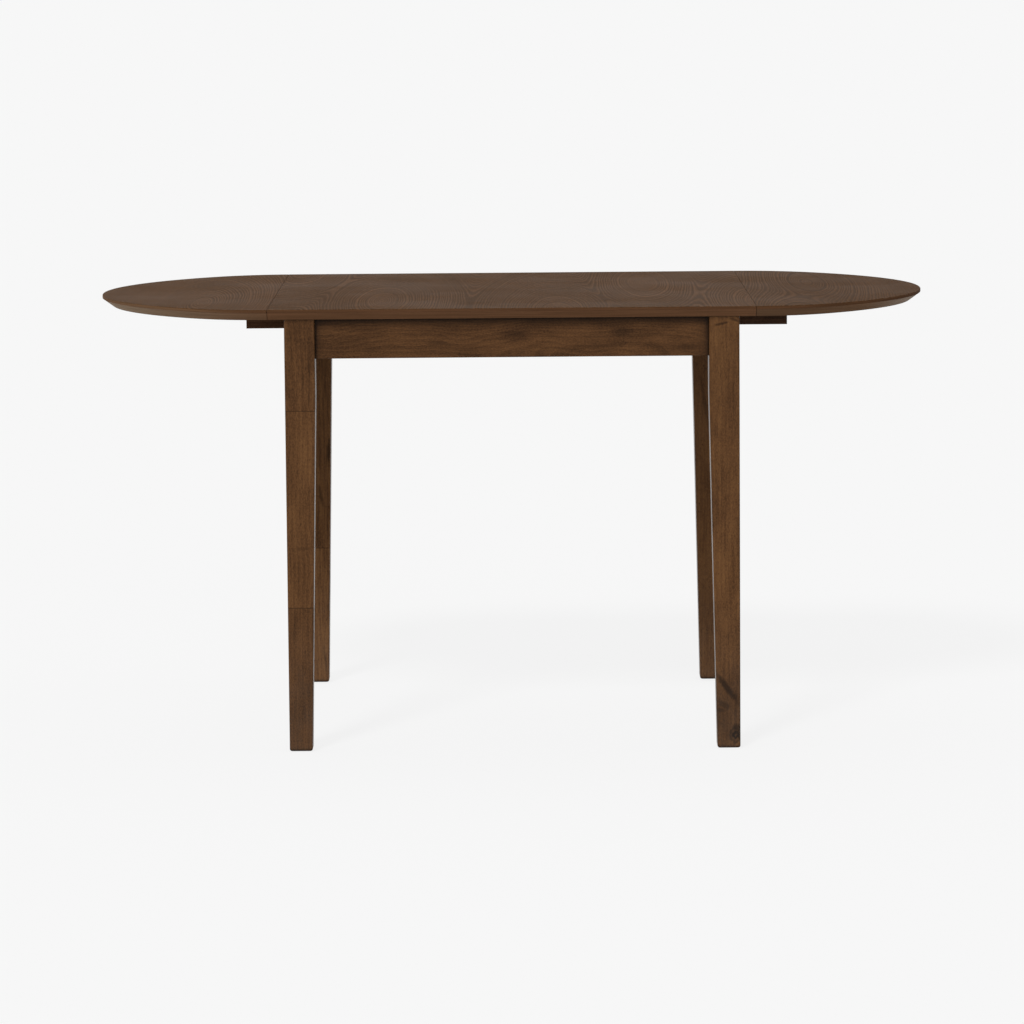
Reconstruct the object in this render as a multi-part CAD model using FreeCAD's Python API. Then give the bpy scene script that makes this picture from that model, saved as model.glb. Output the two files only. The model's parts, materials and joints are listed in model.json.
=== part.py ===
import FreeCAD, Part
import math
import os

# A table with a fixed centre top, a drop leaf hinged at each end and a sliding bar (a loper) under each leaf.
# Millimetres. The origin is on the floor below the middle of the top.
# X runs along the table, the front is -Y and Z is up.

Vector = FreeCAD.Vector

# Overall sizes
open_length = 1400.0
closed_length = 800.0
top_width = 800.0
table_height = 735.0

# Top panels
top_thickness = 18.0
edge_band = 5.0
edge_bevel_inset = 18.0
edge_round = 1.5
shoulder_radius_share = 0.684
seam_gap = 0.6

# Legs
leg_size = 50.0
foot_size = 38.0
leg_inset_from_seam = 27.0
leg_inset_from_side = 18.0
leg_straight_below_apron = 60.0
leg_edge_round = 2.5
leg_corner_flat = 10.0
foot_round = 4.0
foot_round_steps = 4

# Foot glides
glide_diameter = 18.0
glide_height = 4.0
glide_proud = 1.0
glide_edge_round = 0.8
glide_nail_diameter = 3.0
glide_nail_length = 14.0

# Aprons and the dowels that join them to the legs
apron_height = 65.0
apron_thickness = 20.0
apron_recess = 10.0
apron_edge_round = 1.0
dowel_diameter = 8.0
dowel_length = 40.0
dowel_height_shares = (0.25, 0.75)

# Lopers, their stop pegs and the channel that they run in
loper_width = 40.0
loper_height = 43.5
loper_edge_round = 1.5
left_loper_reach = 54.4
right_loper_reach = 71.5
loper_parked_depth = 13.0
nose_radius_share = 0.9
peg_diameter = 8.0
peg_in_loper = 20.0
peg_below_loper = 14.0
peg_inset = 23.5
rail_width = 22.0
rail_edge_round = 1.0
bridge_length = 40.0
bridge_thickness = 10.0
stop_block_height = 40.0
stop_block_length = 79.4

# Hinges
hinge_inset_from_side = 150.0
hinge_length = 60.0
hinge_plate_width = 24.0
hinge_plate_thickness = 2.0
hinge_plate_corner = 3.0
knuckle_radius = 3.5
knuckle_count = 5
hinge_pin_radius = 2.0
hinge_pin_proud = 0.8
hinge_screw_share = 0.34

# Corner brackets with their hanger bolts
bracket_height = 45.0
bracket_thickness = 2.0
bracket_flange = 30.0
bracket_web_offset = 14.0
bracket_screw_height_share = 0.28
bolt_diameter = 8.0
bolt_depth_in_leg = 30.0
bolt_end_proud = 4.0
bolt_end_chamfer = 0.8
washer_diameter = 16.0
washer_thickness = 1.6
nut_width = 13.0
nut_height = 6.5
nut_side_count = 6

# Angle brackets that hold the centre top on the aprons
angle_leg = 20.0
angle_width = 16.0
angle_thickness = 2.0
angle_screw_share = 0.6
side_angle_inset_from_leg = 143.0
end_angle_inset_from_leg = 182.0

# Wood screws
screw_diameter = 3.8
screw_tip_length = 4.0
flat_head_diameter = 7.4
flat_head_height = 1.8
pan_head_diameter = 7.6
pan_head_height = 2.4
pan_head_round = 1.0
recess_width = 1.0
recess_length = 4.0
recess_depth = 1.2
hinge_screw_length = 14.0
bracket_screw_length = 16.0
rail_screw_bite = 12.0
rail_screw_sink = 14.0
rail_screw_shares = (0.84, 0.3)
bridge_screw_length = 26.0
block_screw_share = 0.5

# Clearances
screw_fit = 0.05
dowel_fit = 0.05
hinge_pin_fit = 0.05
bolt_hole_fit = 0.5
knuckle_gap = 0.3
knuckle_clearance = 0.7
hinge_axis_gap = 0.2
hinge_tab_gap = 0.5
loper_top_gap = 0.5
loper_bottom_gap = 0.5
loper_side_gap = 0.5
stop_gap = 0.3
glide_fit = 0.1
overrun = 5.0

# Angles
quarter_turn_degrees = 90
half_turn_degrees = 2 * quarter_turn_degrees
right_angle = math.radians(quarter_turn_degrees)
leaf_drop_angle = right_angle

# Places that follow from the sizes
seam_x = closed_length / 2
tip_x = open_length / 2
side_y = top_width / 2
leaf_start_x = seam_x + seam_gap / 2
leaf_depth = tip_x - leaf_start_x
shoulder_radius = leaf_depth * shoulder_radius_share
underside_z = table_height - top_thickness
apron_bottom_z = underside_z - apron_height
leg_outer_x = seam_x - leg_inset_from_seam
leg_outer_y = side_y - leg_inset_from_side
leg_inner_x = leg_outer_x - leg_size
leg_inner_y = leg_outer_y - leg_size
leg_taper_z = apron_bottom_z - leg_straight_below_apron
end_apron_outer_x = leg_outer_x - apron_recess
end_apron_inner_x = end_apron_outer_x - apron_thickness
side_apron_outer_y = leg_outer_y - apron_recess
side_apron_inner_y = side_apron_outer_y - apron_thickness
hinge_offset = side_y - hinge_inset_from_side
hinge_axis_z = underside_z - knuckle_radius - hinge_axis_gap
loper_top_z = underside_z - loper_top_gap
loper_bottom_z = loper_top_z - loper_height
channel_depth = loper_top_gap + loper_height + loper_bottom_gap
channel_half_width = loper_width / 2 + loper_side_gap
rail_outer_y = channel_half_width + rail_width
rail_bottom_z = underside_z - channel_depth
longest_reach = max(left_loper_reach, right_loper_reach)
parked_tip_x = end_apron_outer_x - loper_parked_depth
stop_block_half_length = stop_block_length / 2
loper_length = parked_tip_x - stop_block_half_length - stop_gap
longest_travel = seam_x + longest_reach - parked_tip_x
nose_radius = nose_radius_share * 2 * longest_travel / leaf_drop_angle
nose_length = longest_reach
farthest_peg_x = seam_x + longest_reach - loper_length + peg_inset
bridge_inner_x = farthest_peg_x + peg_diameter / 2 + stop_gap
bridge_outer_x = bridge_inner_x + bridge_length

sides = {"left": -1, "right": 1}
rows = {"front": -1, "back": 1}
reaches = {"left": left_loper_reach, "right": right_loper_reach}

nodes = {}
holes = {}


def box(x0, x1, y0, y1, z0, z1):
    """A block between two corners."""
    return Part.makeBox(x1 - x0, y1 - y0, z1 - z0, Vector(x0, y0, z0))


def rod(radius, start, direction, length):
    """A round bar from a start point."""
    return Part.makeCylinder(radius, length, start, direction)


def to_quarter(shape, side, row):
    """The shape, made at +X +Y, mirrored to another side and row."""
    if side < 0:
        shape = shape.mirror(Vector(), Vector(1, 0, 0))
    if row < 0:
        shape = shape.mirror(Vector(), Vector(0, 1, 0))
    return shape


def aimed(shape, point, direction):
    """A copy whose own Z axis points along a direction, with its origin at a point."""
    turned = shape.copy()
    turned.Placement = FreeCAD.Placement(Vector(point), FreeCAD.Rotation(Vector(0, 0, 1), Vector(direction)))
    return turned


def turned_about_z(shape, degrees, point):
    """A copy turned about the upright axis and then moved to a point."""
    moved = shape.copy()
    moved.Placement = FreeCAD.Placement(Vector(point), FreeCAD.Rotation(Vector(0, 0, 1), degrees))
    return moved


def polygon_prism(points, direction):
    """A solid from a closed outline of points, pushed along a direction."""
    wire = Part.makePolygon(points + points[:1])
    return Part.Face(wire).extrude(direction)


def rounded_along(shape, axis, radius):
    """The shape with the straight edges that run along an axis rounded."""
    edges = []
    for edge in shape.Edges:
        start = edge.Vertexes[0].Point
        run = edge.Vertexes[-1].Point - start
        if run.Length > radius and abs(abs(run.normalize().dot(axis)) - 1) < edge.Vertexes[0].Tolerance:
            edges.append(edge)
    return shape.makeFillet(radius, edges)


def bore(name, cutters):
    """Note that a node is cut by these solids once it is whole."""
    holes.setdefault(name, []).extend(cutters)


def screw_body(head, length):
    """A wood screw along +Z with its head's bearing plane at zero, head cut with a cross recess."""
    radius = screw_diameter / 2
    shank = rod(radius, Vector(), Vector(0, 0, 1), length - screw_tip_length)
    tip_start = Vector(0, 0, length - screw_tip_length)
    tip = Part.makeCone(radius, 0, screw_tip_length, tip_start, Vector(0, 0, 1))
    solid = head.fuse([shank, tip]).removeSplitter()
    lowest = solid.BoundBox.ZMin
    half_width = recess_width / 2
    half_length = recess_length / 2
    slot_top = lowest + recess_depth
    bar = box(-half_length, half_length, -half_width, half_width, lowest - overrun, slot_top)
    cross = box(-half_width, half_width, -half_length, half_length, lowest - overrun, slot_top)
    return solid.cut([bar, cross])


def flat_screw(length):
    """A countersunk screw whose head's outer face is at zero."""
    head = Part.makeCone(flat_head_diameter / 2, screw_diameter / 2, flat_head_height)
    return screw_body(head, length)


def pan_screw(length):
    """A pan-head screw that bears at zero, with its head below."""
    head = rod(pan_head_diameter / 2, Vector(0, 0, -pan_head_height), Vector(0, 0, 1), pan_head_height)
    rim = [edge for edge in head.Edges if edge.BoundBox.ZMax < -pan_head_height / 2]
    return screw_body(head.makeFillet(pan_head_round, rim), length)


def screw_hole(length):
    """The hole that a screw's shank fills, open at zero."""
    return rod(screw_diameter / 2 + screw_fit, Vector(0, 0, 0), Vector(0, 0, 1), length + screw_fit)


def countersink():
    """The seat for a flat head, open at zero."""
    slope = (flat_head_diameter - screw_diameter) / 2 / flat_head_height
    outer = flat_head_diameter / 2 + screw_fit
    depth = (outer - screw_diameter / 2 - screw_fit) / slope
    return Part.makeCone(outer, screw_diameter / 2 + screw_fit, depth)


def edge_profile(y, z, inward):
    """Corner points of a panel's edge from its underside to its upright band, on one side."""
    return [
        Vector(0, y + inward * edge_bevel_inset, z - top_thickness),
        Vector(0, y, z - edge_band),
        Vector(0, y, z - edge_round),
    ]


def build_centre_top():
    """The fixed panel, bevelled below along its front and back."""
    front = edge_profile(-side_y, table_height, 1)
    back = edge_profile(side_y, table_height, -1)
    bend = edge_round * (1 - math.sqrt(0.5))
    front_top = Vector(0, -side_y + edge_round, table_height)
    back_top = Vector(0, side_y - edge_round, table_height)
    front_mid = Vector(0, -side_y + bend, table_height - bend)
    back_mid = Vector(0, side_y - bend, table_height - bend)
    edges = [
        Part.makeLine(front[0], front[1]),
        Part.makeLine(front[1], front[2]),
        Part.Arc(front[2], front_mid, front_top).toShape(),
        Part.makeLine(front_top, back_top),
        Part.Arc(back_top, back_mid, back[2]).toShape(),
        Part.makeLine(back[2], back[1]),
        Part.makeLine(back[1], back[0]),
        Part.makeLine(back[0], front[0]),
    ]
    panel = Part.Face(Part.Wire(edges)).extrude(Vector(closed_length - seam_gap, 0, 0))
    panel.translate(Vector(-seam_x + seam_gap / 2, 0, 0))
    nodes["centre_top"] = panel


def leaf_outline(inset, z):
    """The right leaf's D-shaped outline: the seam, two shoulder arcs and a tip arc, drawn in by an inset."""
    centre_y = side_y - shoulder_radius
    tip_radius = (leaf_depth**2 + centre_y**2 - shoulder_radius**2) / (2 * (leaf_depth - shoulder_radius))
    tip_centre = Vector(tip_x - tip_radius, 0, z)
    outward = (Vector(leaf_start_x, centre_y, z) - tip_centre).normalize()
    meet = tip_centre + outward * (tip_radius - inset)
    half_angle = (math.atan2(outward.y, outward.x) + right_angle) / 2
    reach = shoulder_radius - inset
    mid = Vector(leaf_start_x + reach * math.cos(half_angle), centre_y + reach * math.sin(half_angle), z)
    corner = Vector(leaf_start_x, side_y - inset, z)
    tip = Vector(tip_x - inset, 0, z)
    low_corner = Vector(corner.x, -corner.y, z)
    low_mid = Vector(mid.x, -mid.y, z)
    low_meet = Vector(meet.x, -meet.y, z)
    edges = [
        Part.makeLine(low_corner, corner),
        Part.Arc(corner, mid, meet).toShape(),
        Part.Arc(meet, tip, low_meet).toShape(),
        Part.Arc(low_meet, low_mid, low_corner).toShape(),
    ]
    return Part.Wire(edges)


def build_leaves():
    """Both drop leaves, bevelled below along their curved edge."""
    band_bottom = table_height - edge_band
    band = Part.Face(leaf_outline(0, band_bottom)).extrude(Vector(0, 0, edge_band))
    rim = []
    for edge in band.Edges:
        at_top = edge.BoundBox.ZMin > table_height - edge_band / 2
        at_seam = edge.BoundBox.XMax < seam_x + seam_gap
        if at_top and not at_seam:
            rim.append(edge)
    band = band.makeFillet(edge_round, rim)
    lower = leaf_outline(edge_bevel_inset, underside_z)
    bevel = Part.makeLoft([lower, leaf_outline(0, band_bottom)], True, True)
    leaf = band.fuse(bevel).removeSplitter()
    for name, side in sides.items():
        nodes[f"{name}_leaf"] = to_quarter(leaf, side, 1)


def rounded_square(low, high_x, high_y, z):
    """A level square wire with rounded corners, given by its low corner's point and its two high faces."""
    r = leg_edge_round
    bend = r * (1 - math.sqrt(0.5))
    x0, y0 = low
    corners = [(x0, y0, 1, 1), (high_x, y0, -1, 1), (high_x, high_y, -1, -1), (x0, high_y, 1, -1)]
    arcs = []
    for x, y, sx, sy in corners:
        on_x = Vector(x + sx * r, y, z)
        on_y = Vector(x, y + sy * r, z)
        mid = Vector(x + sx * bend, y + sy * bend, z)
        first, last = (on_y, on_x) if sx * sy > 0 else (on_x, on_y)
        arcs.append((first, mid, last))
    edges = []
    for i, (first, mid, last) in enumerate(arcs):
        edges.append(Part.Arc(first, mid, last).toShape())
        edges.append(Part.makeLine(last, arcs[(i + 1) % len(arcs)][0]))
    return Part.Wire(edges)


def leg_section(z, inset):
    """The leg's outline at a height: square outside, tapered on its two inner faces, drawn in by an inset."""
    fall = leg_taper_z - glide_proud
    share = min((z - glide_proud) / fall, 1)
    size = foot_size + (leg_size - foot_size) * share
    low = (leg_outer_x - size + inset, leg_outer_y - size + inset)
    return rounded_square(low, leg_outer_x - inset, leg_outer_y - inset, z)


def build_legs():
    """Four legs with a flat on the inner top corner for the bracket, and a glide under each foot."""
    sections = [leg_section(underside_z, 0), leg_section(leg_taper_z, 0)]
    for step in range(foot_round_steps + 1):
        angle = math.radians(quarter_turn_degrees * step / foot_round_steps)
        inset = foot_round * (1 - math.cos(angle))
        sections.append(leg_section(glide_proud + foot_round * (1 - math.sin(angle)), inset))
    leg = Part.makeLoft(sections, True, True)
    flat = [
        Vector(leg_inner_x - overrun, leg_inner_y - overrun, apron_bottom_z),
        Vector(leg_inner_x + leg_corner_flat + overrun, leg_inner_y - overrun, apron_bottom_z),
        Vector(leg_inner_x - overrun, leg_inner_y + leg_corner_flat + overrun, apron_bottom_z),
    ]
    leg = leg.cut(polygon_prism(flat, Vector(0, 0, apron_height + overrun)))

    foot_x = leg_outer_x - foot_size / 2
    foot_y = leg_outer_y - foot_size / 2
    up = Vector(0, 0, 1)
    cap = rod(glide_diameter / 2, Vector(foot_x, foot_y, 0), up, glide_height)
    rim = [edge for edge in cap.Edges if edge.BoundBox.ZMax < glide_height / 2]
    cap = cap.makeFillet(glide_edge_round, rim)
    nail = rod(glide_nail_diameter / 2, Vector(foot_x, foot_y, 0), up, glide_height + glide_nail_length)
    glide = cap.fuse(nail).removeSplitter()
    seat = rod(glide_diameter / 2 + glide_fit, Vector(foot_x, foot_y, 0), up, glide_height)
    nail_hole_length = glide_height + glide_nail_length + glide_fit
    nail_hole = rod(glide_nail_diameter / 2 + glide_fit, Vector(foot_x, foot_y, 0), up, nail_hole_length)
    leg = leg.cut([seat, nail_hole])

    glides = []
    for row_name, row in rows.items():
        for side_name, side in sides.items():
            nodes[f"{row_name}_{side_name}_leg"] = to_quarter(leg, side, row)
            glides.append(to_quarter(glide, side, row))
    nodes["foot_glides"] = Part.makeCompound(glides)


def build_aprons():
    """Front and back aprons, end aprons slotted for the lopers, and the dowels into the legs."""
    side_apron = box(
        -leg_inner_x, leg_inner_x, side_apron_inner_y, side_apron_outer_y, apron_bottom_z, underside_z
    )
    side_apron = rounded_along(side_apron, Vector(1, 0, 0), apron_edge_round)
    end_apron = box(
        end_apron_inner_x, end_apron_outer_x, -leg_inner_y, leg_inner_y, apron_bottom_z, underside_z
    )
    end_apron = rounded_along(end_apron, Vector(0, 1, 0), apron_edge_round)
    slot = box(
        end_apron_inner_x - overrun, end_apron_outer_x + overrun,
        -channel_half_width, channel_half_width, rail_bottom_z, underside_z + overrun,
    )
    end_apron = end_apron.cut(slot)
    for name, row in rows.items():
        nodes[f"{name}_apron"] = to_quarter(side_apron, 1, row)
    for name, side in sides.items():
        nodes[f"{name}_end_apron"] = to_quarter(end_apron, side, 1)

    along_x = Vector(1, 0, 0)
    along_y = Vector(0, 1, 0)
    mid_y = (side_apron_inner_y + side_apron_outer_y) / 2
    mid_x = (end_apron_inner_x + end_apron_outer_x) / 2
    dowels = []
    for share in dowel_height_shares:
        z = apron_bottom_z + apron_height * share
        places = [
            (Vector(leg_inner_x, mid_y, z), along_x, "{row}_apron"),
            (Vector(mid_x, leg_inner_y, z), along_y, "{side}_end_apron"),
        ]
        for middle, direction, apron in places:
            start = middle - direction * (dowel_length / 2)
            dowel = rod(dowel_diameter / 2, start, direction, dowel_length)
            hole_start = start - direction * dowel_fit
            hole = rod(dowel_diameter / 2 + dowel_fit, hole_start, direction, dowel_length + 2 * dowel_fit)
            for row_name, row in rows.items():
                for side_name, side in sides.items():
                    dowels.append(to_quarter(dowel, side, row))
                    placed = to_quarter(hole, side, row)
                    bore(apron.format(row=row_name, side=side_name), [placed])
                    bore(f"{row_name}_{side_name}_leg", [placed])
    nodes["apron_dowels"] = Part.makeCompound(dowels)


def loper_solid(tip):
    """A right-hand loper with its tip at a place along X and a long rounded nose on its top."""
    inner = tip - loper_length
    nose_start = tip - nose_length

    def nose_point(run):
        drop = nose_radius - math.sqrt(nose_radius**2 - run**2)
        return Vector(nose_start + run, 0, loper_top_z - drop)

    corners = [
        nose_point(nose_length),
        Vector(tip, 0, loper_bottom_z),
        Vector(inner, 0, loper_bottom_z),
        Vector(inner, 0, loper_top_z),
        nose_point(0),
    ]
    edges = [Part.makeLine(corners[i], corners[i + 1]) for i in range(len(corners) - 1)]
    edges.append(Part.Arc(nose_point(0), nose_point(nose_length / 2), nose_point(nose_length)).toShape())
    bar = Part.Face(Part.Wire(edges)).extrude(Vector(0, loper_width, 0))
    bar.translate(Vector(0, -loper_width / 2, 0))
    return rounded_along(bar, Vector(1, 0, 0), loper_edge_round)


def build_lopers():
    """The two sliding bars, each with the peg that stops it at the keeper bridge."""
    for name, side in sides.items():
        tip = seam_x + reaches[name]
        bar = loper_solid(tip)
        peg_x = tip - loper_length + peg_inset
        peg_length = peg_in_loper + peg_below_loper
        peg_foot = Vector(peg_x, 0, loper_bottom_z - peg_below_loper)
        peg = rod(peg_diameter / 2, peg_foot, Vector(0, 0, 1), peg_length)
        hole = rod(peg_diameter / 2 + dowel_fit, peg_foot, Vector(0, 0, 1), peg_length + dowel_fit)
        nodes[f"{name}_loper"] = to_quarter(bar.cut(hole), side, 1)
        nodes[f"{name}_stop_peg"] = to_quarter(peg, side, 1)


def build_channel():
    """The rails beside the lopers, the bridge below each and the block between them, all screwed in place."""
    up = Vector(0, 0, 1)
    rail = box(
        -end_apron_inner_x, end_apron_inner_x, channel_half_width, rail_outer_y, rail_bottom_z, underside_z
    )
    rail = rounded_along(rail, Vector(1, 0, 0), rail_edge_round)
    rail_mid_y = (channel_half_width + rail_outer_y) / 2
    bridge_mid_x = (bridge_inner_x + bridge_outer_x) / 2
    bridge_bottom_z = rail_bottom_z - bridge_thickness

    rail_screw_length = channel_depth - rail_screw_sink + rail_screw_bite
    rail_screw = pan_screw(rail_screw_length)
    sink = rod(pan_head_diameter / 2 + screw_fit, Vector(0, 0, -channel_depth), up, channel_depth)
    rail_screws = []
    for share in rail_screw_shares:
        seat = Vector(end_apron_inner_x * share, rail_mid_y, rail_bottom_z + rail_screw_sink)
        for row_name, row in rows.items():
            for side in sides.values():
                rail_screws.append(to_quarter(aimed(rail_screw, seat, up), side, row))
                hole = to_quarter(aimed(screw_hole(rail_screw_length), seat, up), side, row)
                bore(f"{row_name}_guide_rail", [hole, to_quarter(aimed(sink, seat, up), side, row)])
                bore("centre_top", [hole])
    for name, row in rows.items():
        nodes[f"{name}_guide_rail"] = to_quarter(rail, 1, row)
    nodes["guide_rail_screws"] = Part.makeCompound(rail_screws)

    bridge = box(bridge_inner_x, bridge_outer_x, -rail_outer_y, rail_outer_y, bridge_bottom_z, rail_bottom_z)
    bridge = rounded_along(bridge, Vector(0, 1, 0), rail_edge_round)
    bridge_screws = []
    seat = Vector(bridge_mid_x, rail_mid_y, bridge_bottom_z)
    for side_name, side in sides.items():
        nodes[f"{side_name}_keeper_bridge"] = to_quarter(bridge, side, 1)
        for row_name, row in rows.items():
            bridge_screws.append(to_quarter(aimed(pan_screw(bridge_screw_length), seat, up), side, row))
            hole = to_quarter(aimed(screw_hole(bridge_screw_length), seat, up), side, row)
            bore(f"{side_name}_keeper_bridge", [hole])
            bore(f"{row_name}_guide_rail", [hole])
    nodes["keeper_bridge_screws"] = Part.makeCompound(bridge_screws)

    block_bottom_z = underside_z - stop_block_height
    block = box(
        -stop_block_half_length, stop_block_half_length,
        -loper_width / 2, loper_width / 2, block_bottom_z, underside_z,
    )
    nodes["stop_block"] = rounded_along(block, up, rail_edge_round)
    block_screw_length = stop_block_height - rail_screw_sink + rail_screw_bite
    block_screws = []
    for side in sides.values():
        seat = Vector(stop_block_half_length * block_screw_share * side, 0, block_bottom_z + rail_screw_sink)
        block_screws.append(aimed(pan_screw(block_screw_length), seat, up))
        hole = aimed(screw_hole(block_screw_length), seat, up)
        bore("stop_block", [hole, aimed(sink, seat, up)])
        bore("centre_top", [hole])
    nodes["stop_block_screws"] = Part.makeCompound(block_screws)


def hinge_plate(outward, own_turns):
    """One plate of a hinge, on the inner (-1) or outer (+1) side of its pin, with its own knuckles."""
    edge = knuckle_radius + knuckle_clearance
    half = hinge_length / 2
    low_z = underside_z - hinge_plate_thickness
    near_x = seam_x + outward * edge
    far_x = near_x + outward * hinge_plate_width
    plate = box(min(near_x, far_x), max(near_x, far_x), -half, half, low_z, underside_z)
    corners = []
    for candidate in plate.Edges:
        upright = candidate.BoundBox.ZLength > hinge_plate_thickness / 2
        if upright and abs(candidate.BoundBox.Center.x - far_x) < hinge_plate_corner:
            corners.append(candidate)
    plate = plate.makeFillet(hinge_plate_corner, corners)
    turn_length = (hinge_length - knuckle_gap * (knuckle_count - 1)) / knuckle_count
    pieces = []
    for turn in own_turns:
        start_y = -half + turn * (turn_length + knuckle_gap)
        end_y = start_y + turn_length
        tab_x = seam_x + outward * hinge_tab_gap
        pieces.append(box(min(near_x, tab_x), max(near_x, tab_x), start_y, end_y, low_z, underside_z))
        barrel_start = Vector(seam_x, start_y, hinge_axis_z)
        pieces.append(rod(knuckle_radius, barrel_start, Vector(0, 1, 0), turn_length))
    plate = plate.fuse(pieces).removeSplitter()
    pin_bore_start = Vector(seam_x, -half - overrun, hinge_axis_z)
    pin_bore_length = hinge_length + 2 * overrun
    plate = plate.cut(rod(hinge_pin_radius + hinge_pin_fit, pin_bore_start, Vector(0, 1, 0), pin_bore_length))
    seats = []
    for place in (-hinge_screw_share, 0, hinge_screw_share):
        seats.append(Vector((near_x + far_x) / 2, hinge_length * place, low_z))
    up = Vector(0, 0, 1)
    for seat in seats:
        plate = plate.cut([aimed(countersink(), seat, up), aimed(screw_hole(overrun), seat, up)])
    return plate, seats


def build_hinges():
    """Two hinges at each end: a plate under the centre top, a plate under the leaf, a pin and the screws."""
    up = Vector(0, 0, 1)
    frame_plate, frame_seats = hinge_plate(-1, range(0, knuckle_count, 2))
    leaf_plate, leaf_seats = hinge_plate(1, range(1, knuckle_count, 2))
    pin_start = Vector(seam_x, -hinge_length / 2 - hinge_pin_proud, hinge_axis_z)
    pin = rod(hinge_pin_radius, pin_start, Vector(0, 1, 0), hinge_length + 2 * hinge_pin_proud)
    screw = flat_screw(hinge_screw_length)
    hole = screw_hole(hinge_screw_length)
    frame_screws = []
    for side_name, side in sides.items():
        leaf_screws = []
        for row_name, row in rows.items():
            shift = Vector(0, hinge_offset * row, 0)
            names = (
                (f"{side_name}_{row_name}_hinge_frame_plate", frame_plate),
                (f"{side_name}_{row_name}_hinge_leaf_plate", leaf_plate),
                (f"{side_name}_{row_name}_hinge_pin", pin),
            )
            for name, shape in names:
                nodes[name] = to_quarter(shape.translated(shift), side, 1)
            for seats, screws, wood in (
                (frame_seats, frame_screws, "centre_top"),
                (leaf_seats, leaf_screws, f"{side_name}_leaf"),
            ):
                for seat in seats:
                    screws.append(to_quarter(aimed(screw, seat + shift, up), side, 1))
                    bore(wood, [to_quarter(aimed(hole, seat + shift, up), side, 1)])
        nodes[f"{side_name}_hinge_leaf_screws"] = Part.makeCompound(leaf_screws)
    nodes["hinge_frame_screws"] = Part.makeCompound(frame_screws)


def build_corner_brackets():
    """A bent steel bracket across each corner, with a bolt into the leg and screws into the aprons."""
    mid_z = apron_bottom_z + apron_height / 2
    low_z = mid_z - bracket_height / 2
    back_x = end_apron_inner_x
    back_y = side_apron_inner_y
    web_sum = leg_inner_x + leg_inner_y - bracket_web_offset
    thick = bracket_thickness
    inner_sum = web_sum - thick * math.sqrt(2)
    bend_x = web_sum - back_y
    bend_y = web_sum - back_x
    outline = [
        Vector(bend_x - bracket_flange, back_y, low_z),
        Vector(bend_x, back_y, low_z),
        Vector(back_x, bend_y, low_z),
        Vector(back_x, bend_y - bracket_flange, low_z),
        Vector(back_x - thick, bend_y - bracket_flange, low_z),
        Vector(back_x - thick, inner_sum - back_x + thick, low_z),
        Vector(inner_sum - back_y + thick, back_y - thick, low_z),
        Vector(bend_x - bracket_flange, back_y - thick, low_z),
    ]
    bracket = polygon_prism(outline, Vector(0, 0, bracket_height))

    diagonal = Vector(1, 1, 0).normalize()
    excess = (leg_inner_x + leg_inner_y - web_sum) / 2
    web_point = Vector(leg_inner_x - excess, leg_inner_y - excess, mid_z)
    flat_excess = leg_corner_flat / 2
    leg_point = Vector(leg_inner_x + flat_excess, leg_inner_y + flat_excess, mid_z)
    bolt_hole_radius = bolt_diameter / 2 + bolt_hole_fit
    hole_start = web_point - diagonal * (bracket_thickness + overrun)
    bracket = bracket.cut(rod(bolt_hole_radius, hole_start, diagonal, bracket_thickness + 2 * overrun))
    washer_face = web_point - diagonal * bracket_thickness
    nut_face = washer_face - diagonal * washer_thickness
    bolt_end = nut_face - diagonal * (nut_height + bolt_end_proud)
    bolt_tip = leg_point + diagonal * bolt_depth_in_leg
    bolt_length = (bolt_tip - bolt_end).Length
    bolt = rod(bolt_diameter / 2, Vector(), Vector(0, 0, 1), bolt_length)
    bolt = bolt.makeChamfer(bolt_end_chamfer, [edge for edge in bolt.Edges if len(edge.Vertexes) == 1])
    bolt = aimed(bolt, bolt_end, diagonal)
    tap = rod(bolt_diameter / 2 + screw_fit, bolt_end, diagonal, bolt_length + screw_fit)
    washer = rod(washer_diameter / 2, nut_face, diagonal, washer_thickness).cut(tap)
    nut_radius = nut_width / math.sqrt(3)
    hexagon = []
    for i in range(nut_side_count):
        angle = 2 * math.pi * i / nut_side_count
        hexagon.append(Vector(nut_radius * math.cos(angle), nut_radius * math.sin(angle), 0))
    nut = polygon_prism(hexagon, Vector(0, 0, nut_height))
    nut = aimed(nut, nut_face - diagonal * nut_height, diagonal).cut(tap)

    flange_mid = bracket_flange / 2
    spread = bracket_height * bracket_screw_height_share
    screw = pan_screw(bracket_screw_length)
    hole = screw_hole(bracket_screw_length)
    flange_holes = []
    screws = []
    for z in (mid_z - spread, mid_z + spread):
        seat_y = Vector(bend_x - flange_mid, back_y - thick, z)
        seat_x = Vector(back_x - thick, bend_y - flange_mid, z)
        for seat, direction, apron in (
            (seat_y, Vector(0, 1, 0), "{row}_apron"),
            (seat_x, Vector(1, 0, 0), "{side}_end_apron"),
        ):
            screws.append(aimed(screw, seat, direction))
            flange_holes.append((aimed(hole, seat, direction), apron))
    bracket = bracket.cut([cutter for cutter, _ in flange_holes])

    groups = {"leg_bolts": [], "bolt_washers": [], "bolt_nuts": [], "corner_bracket_screws": []}
    for row_name, row in rows.items():
        for side_name, side in sides.items():
            nodes[f"{row_name}_{side_name}_corner_bracket"] = to_quarter(bracket, side, row)
            bore(f"{row_name}_{side_name}_leg", [to_quarter(tap, side, row)])
            for cutter, apron in flange_holes:
                bore(apron.format(row=row_name, side=side_name), [to_quarter(cutter, side, row)])
            groups["leg_bolts"].append(to_quarter(bolt, side, row))
            groups["bolt_washers"].append(to_quarter(washer, side, row))
            groups["bolt_nuts"].append(to_quarter(nut, side, row))
            groups["corner_bracket_screws"].extend(to_quarter(one, side, row) for one in screws)
    for name, solids in groups.items():
        nodes[name] = Part.makeCompound(solids)


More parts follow.
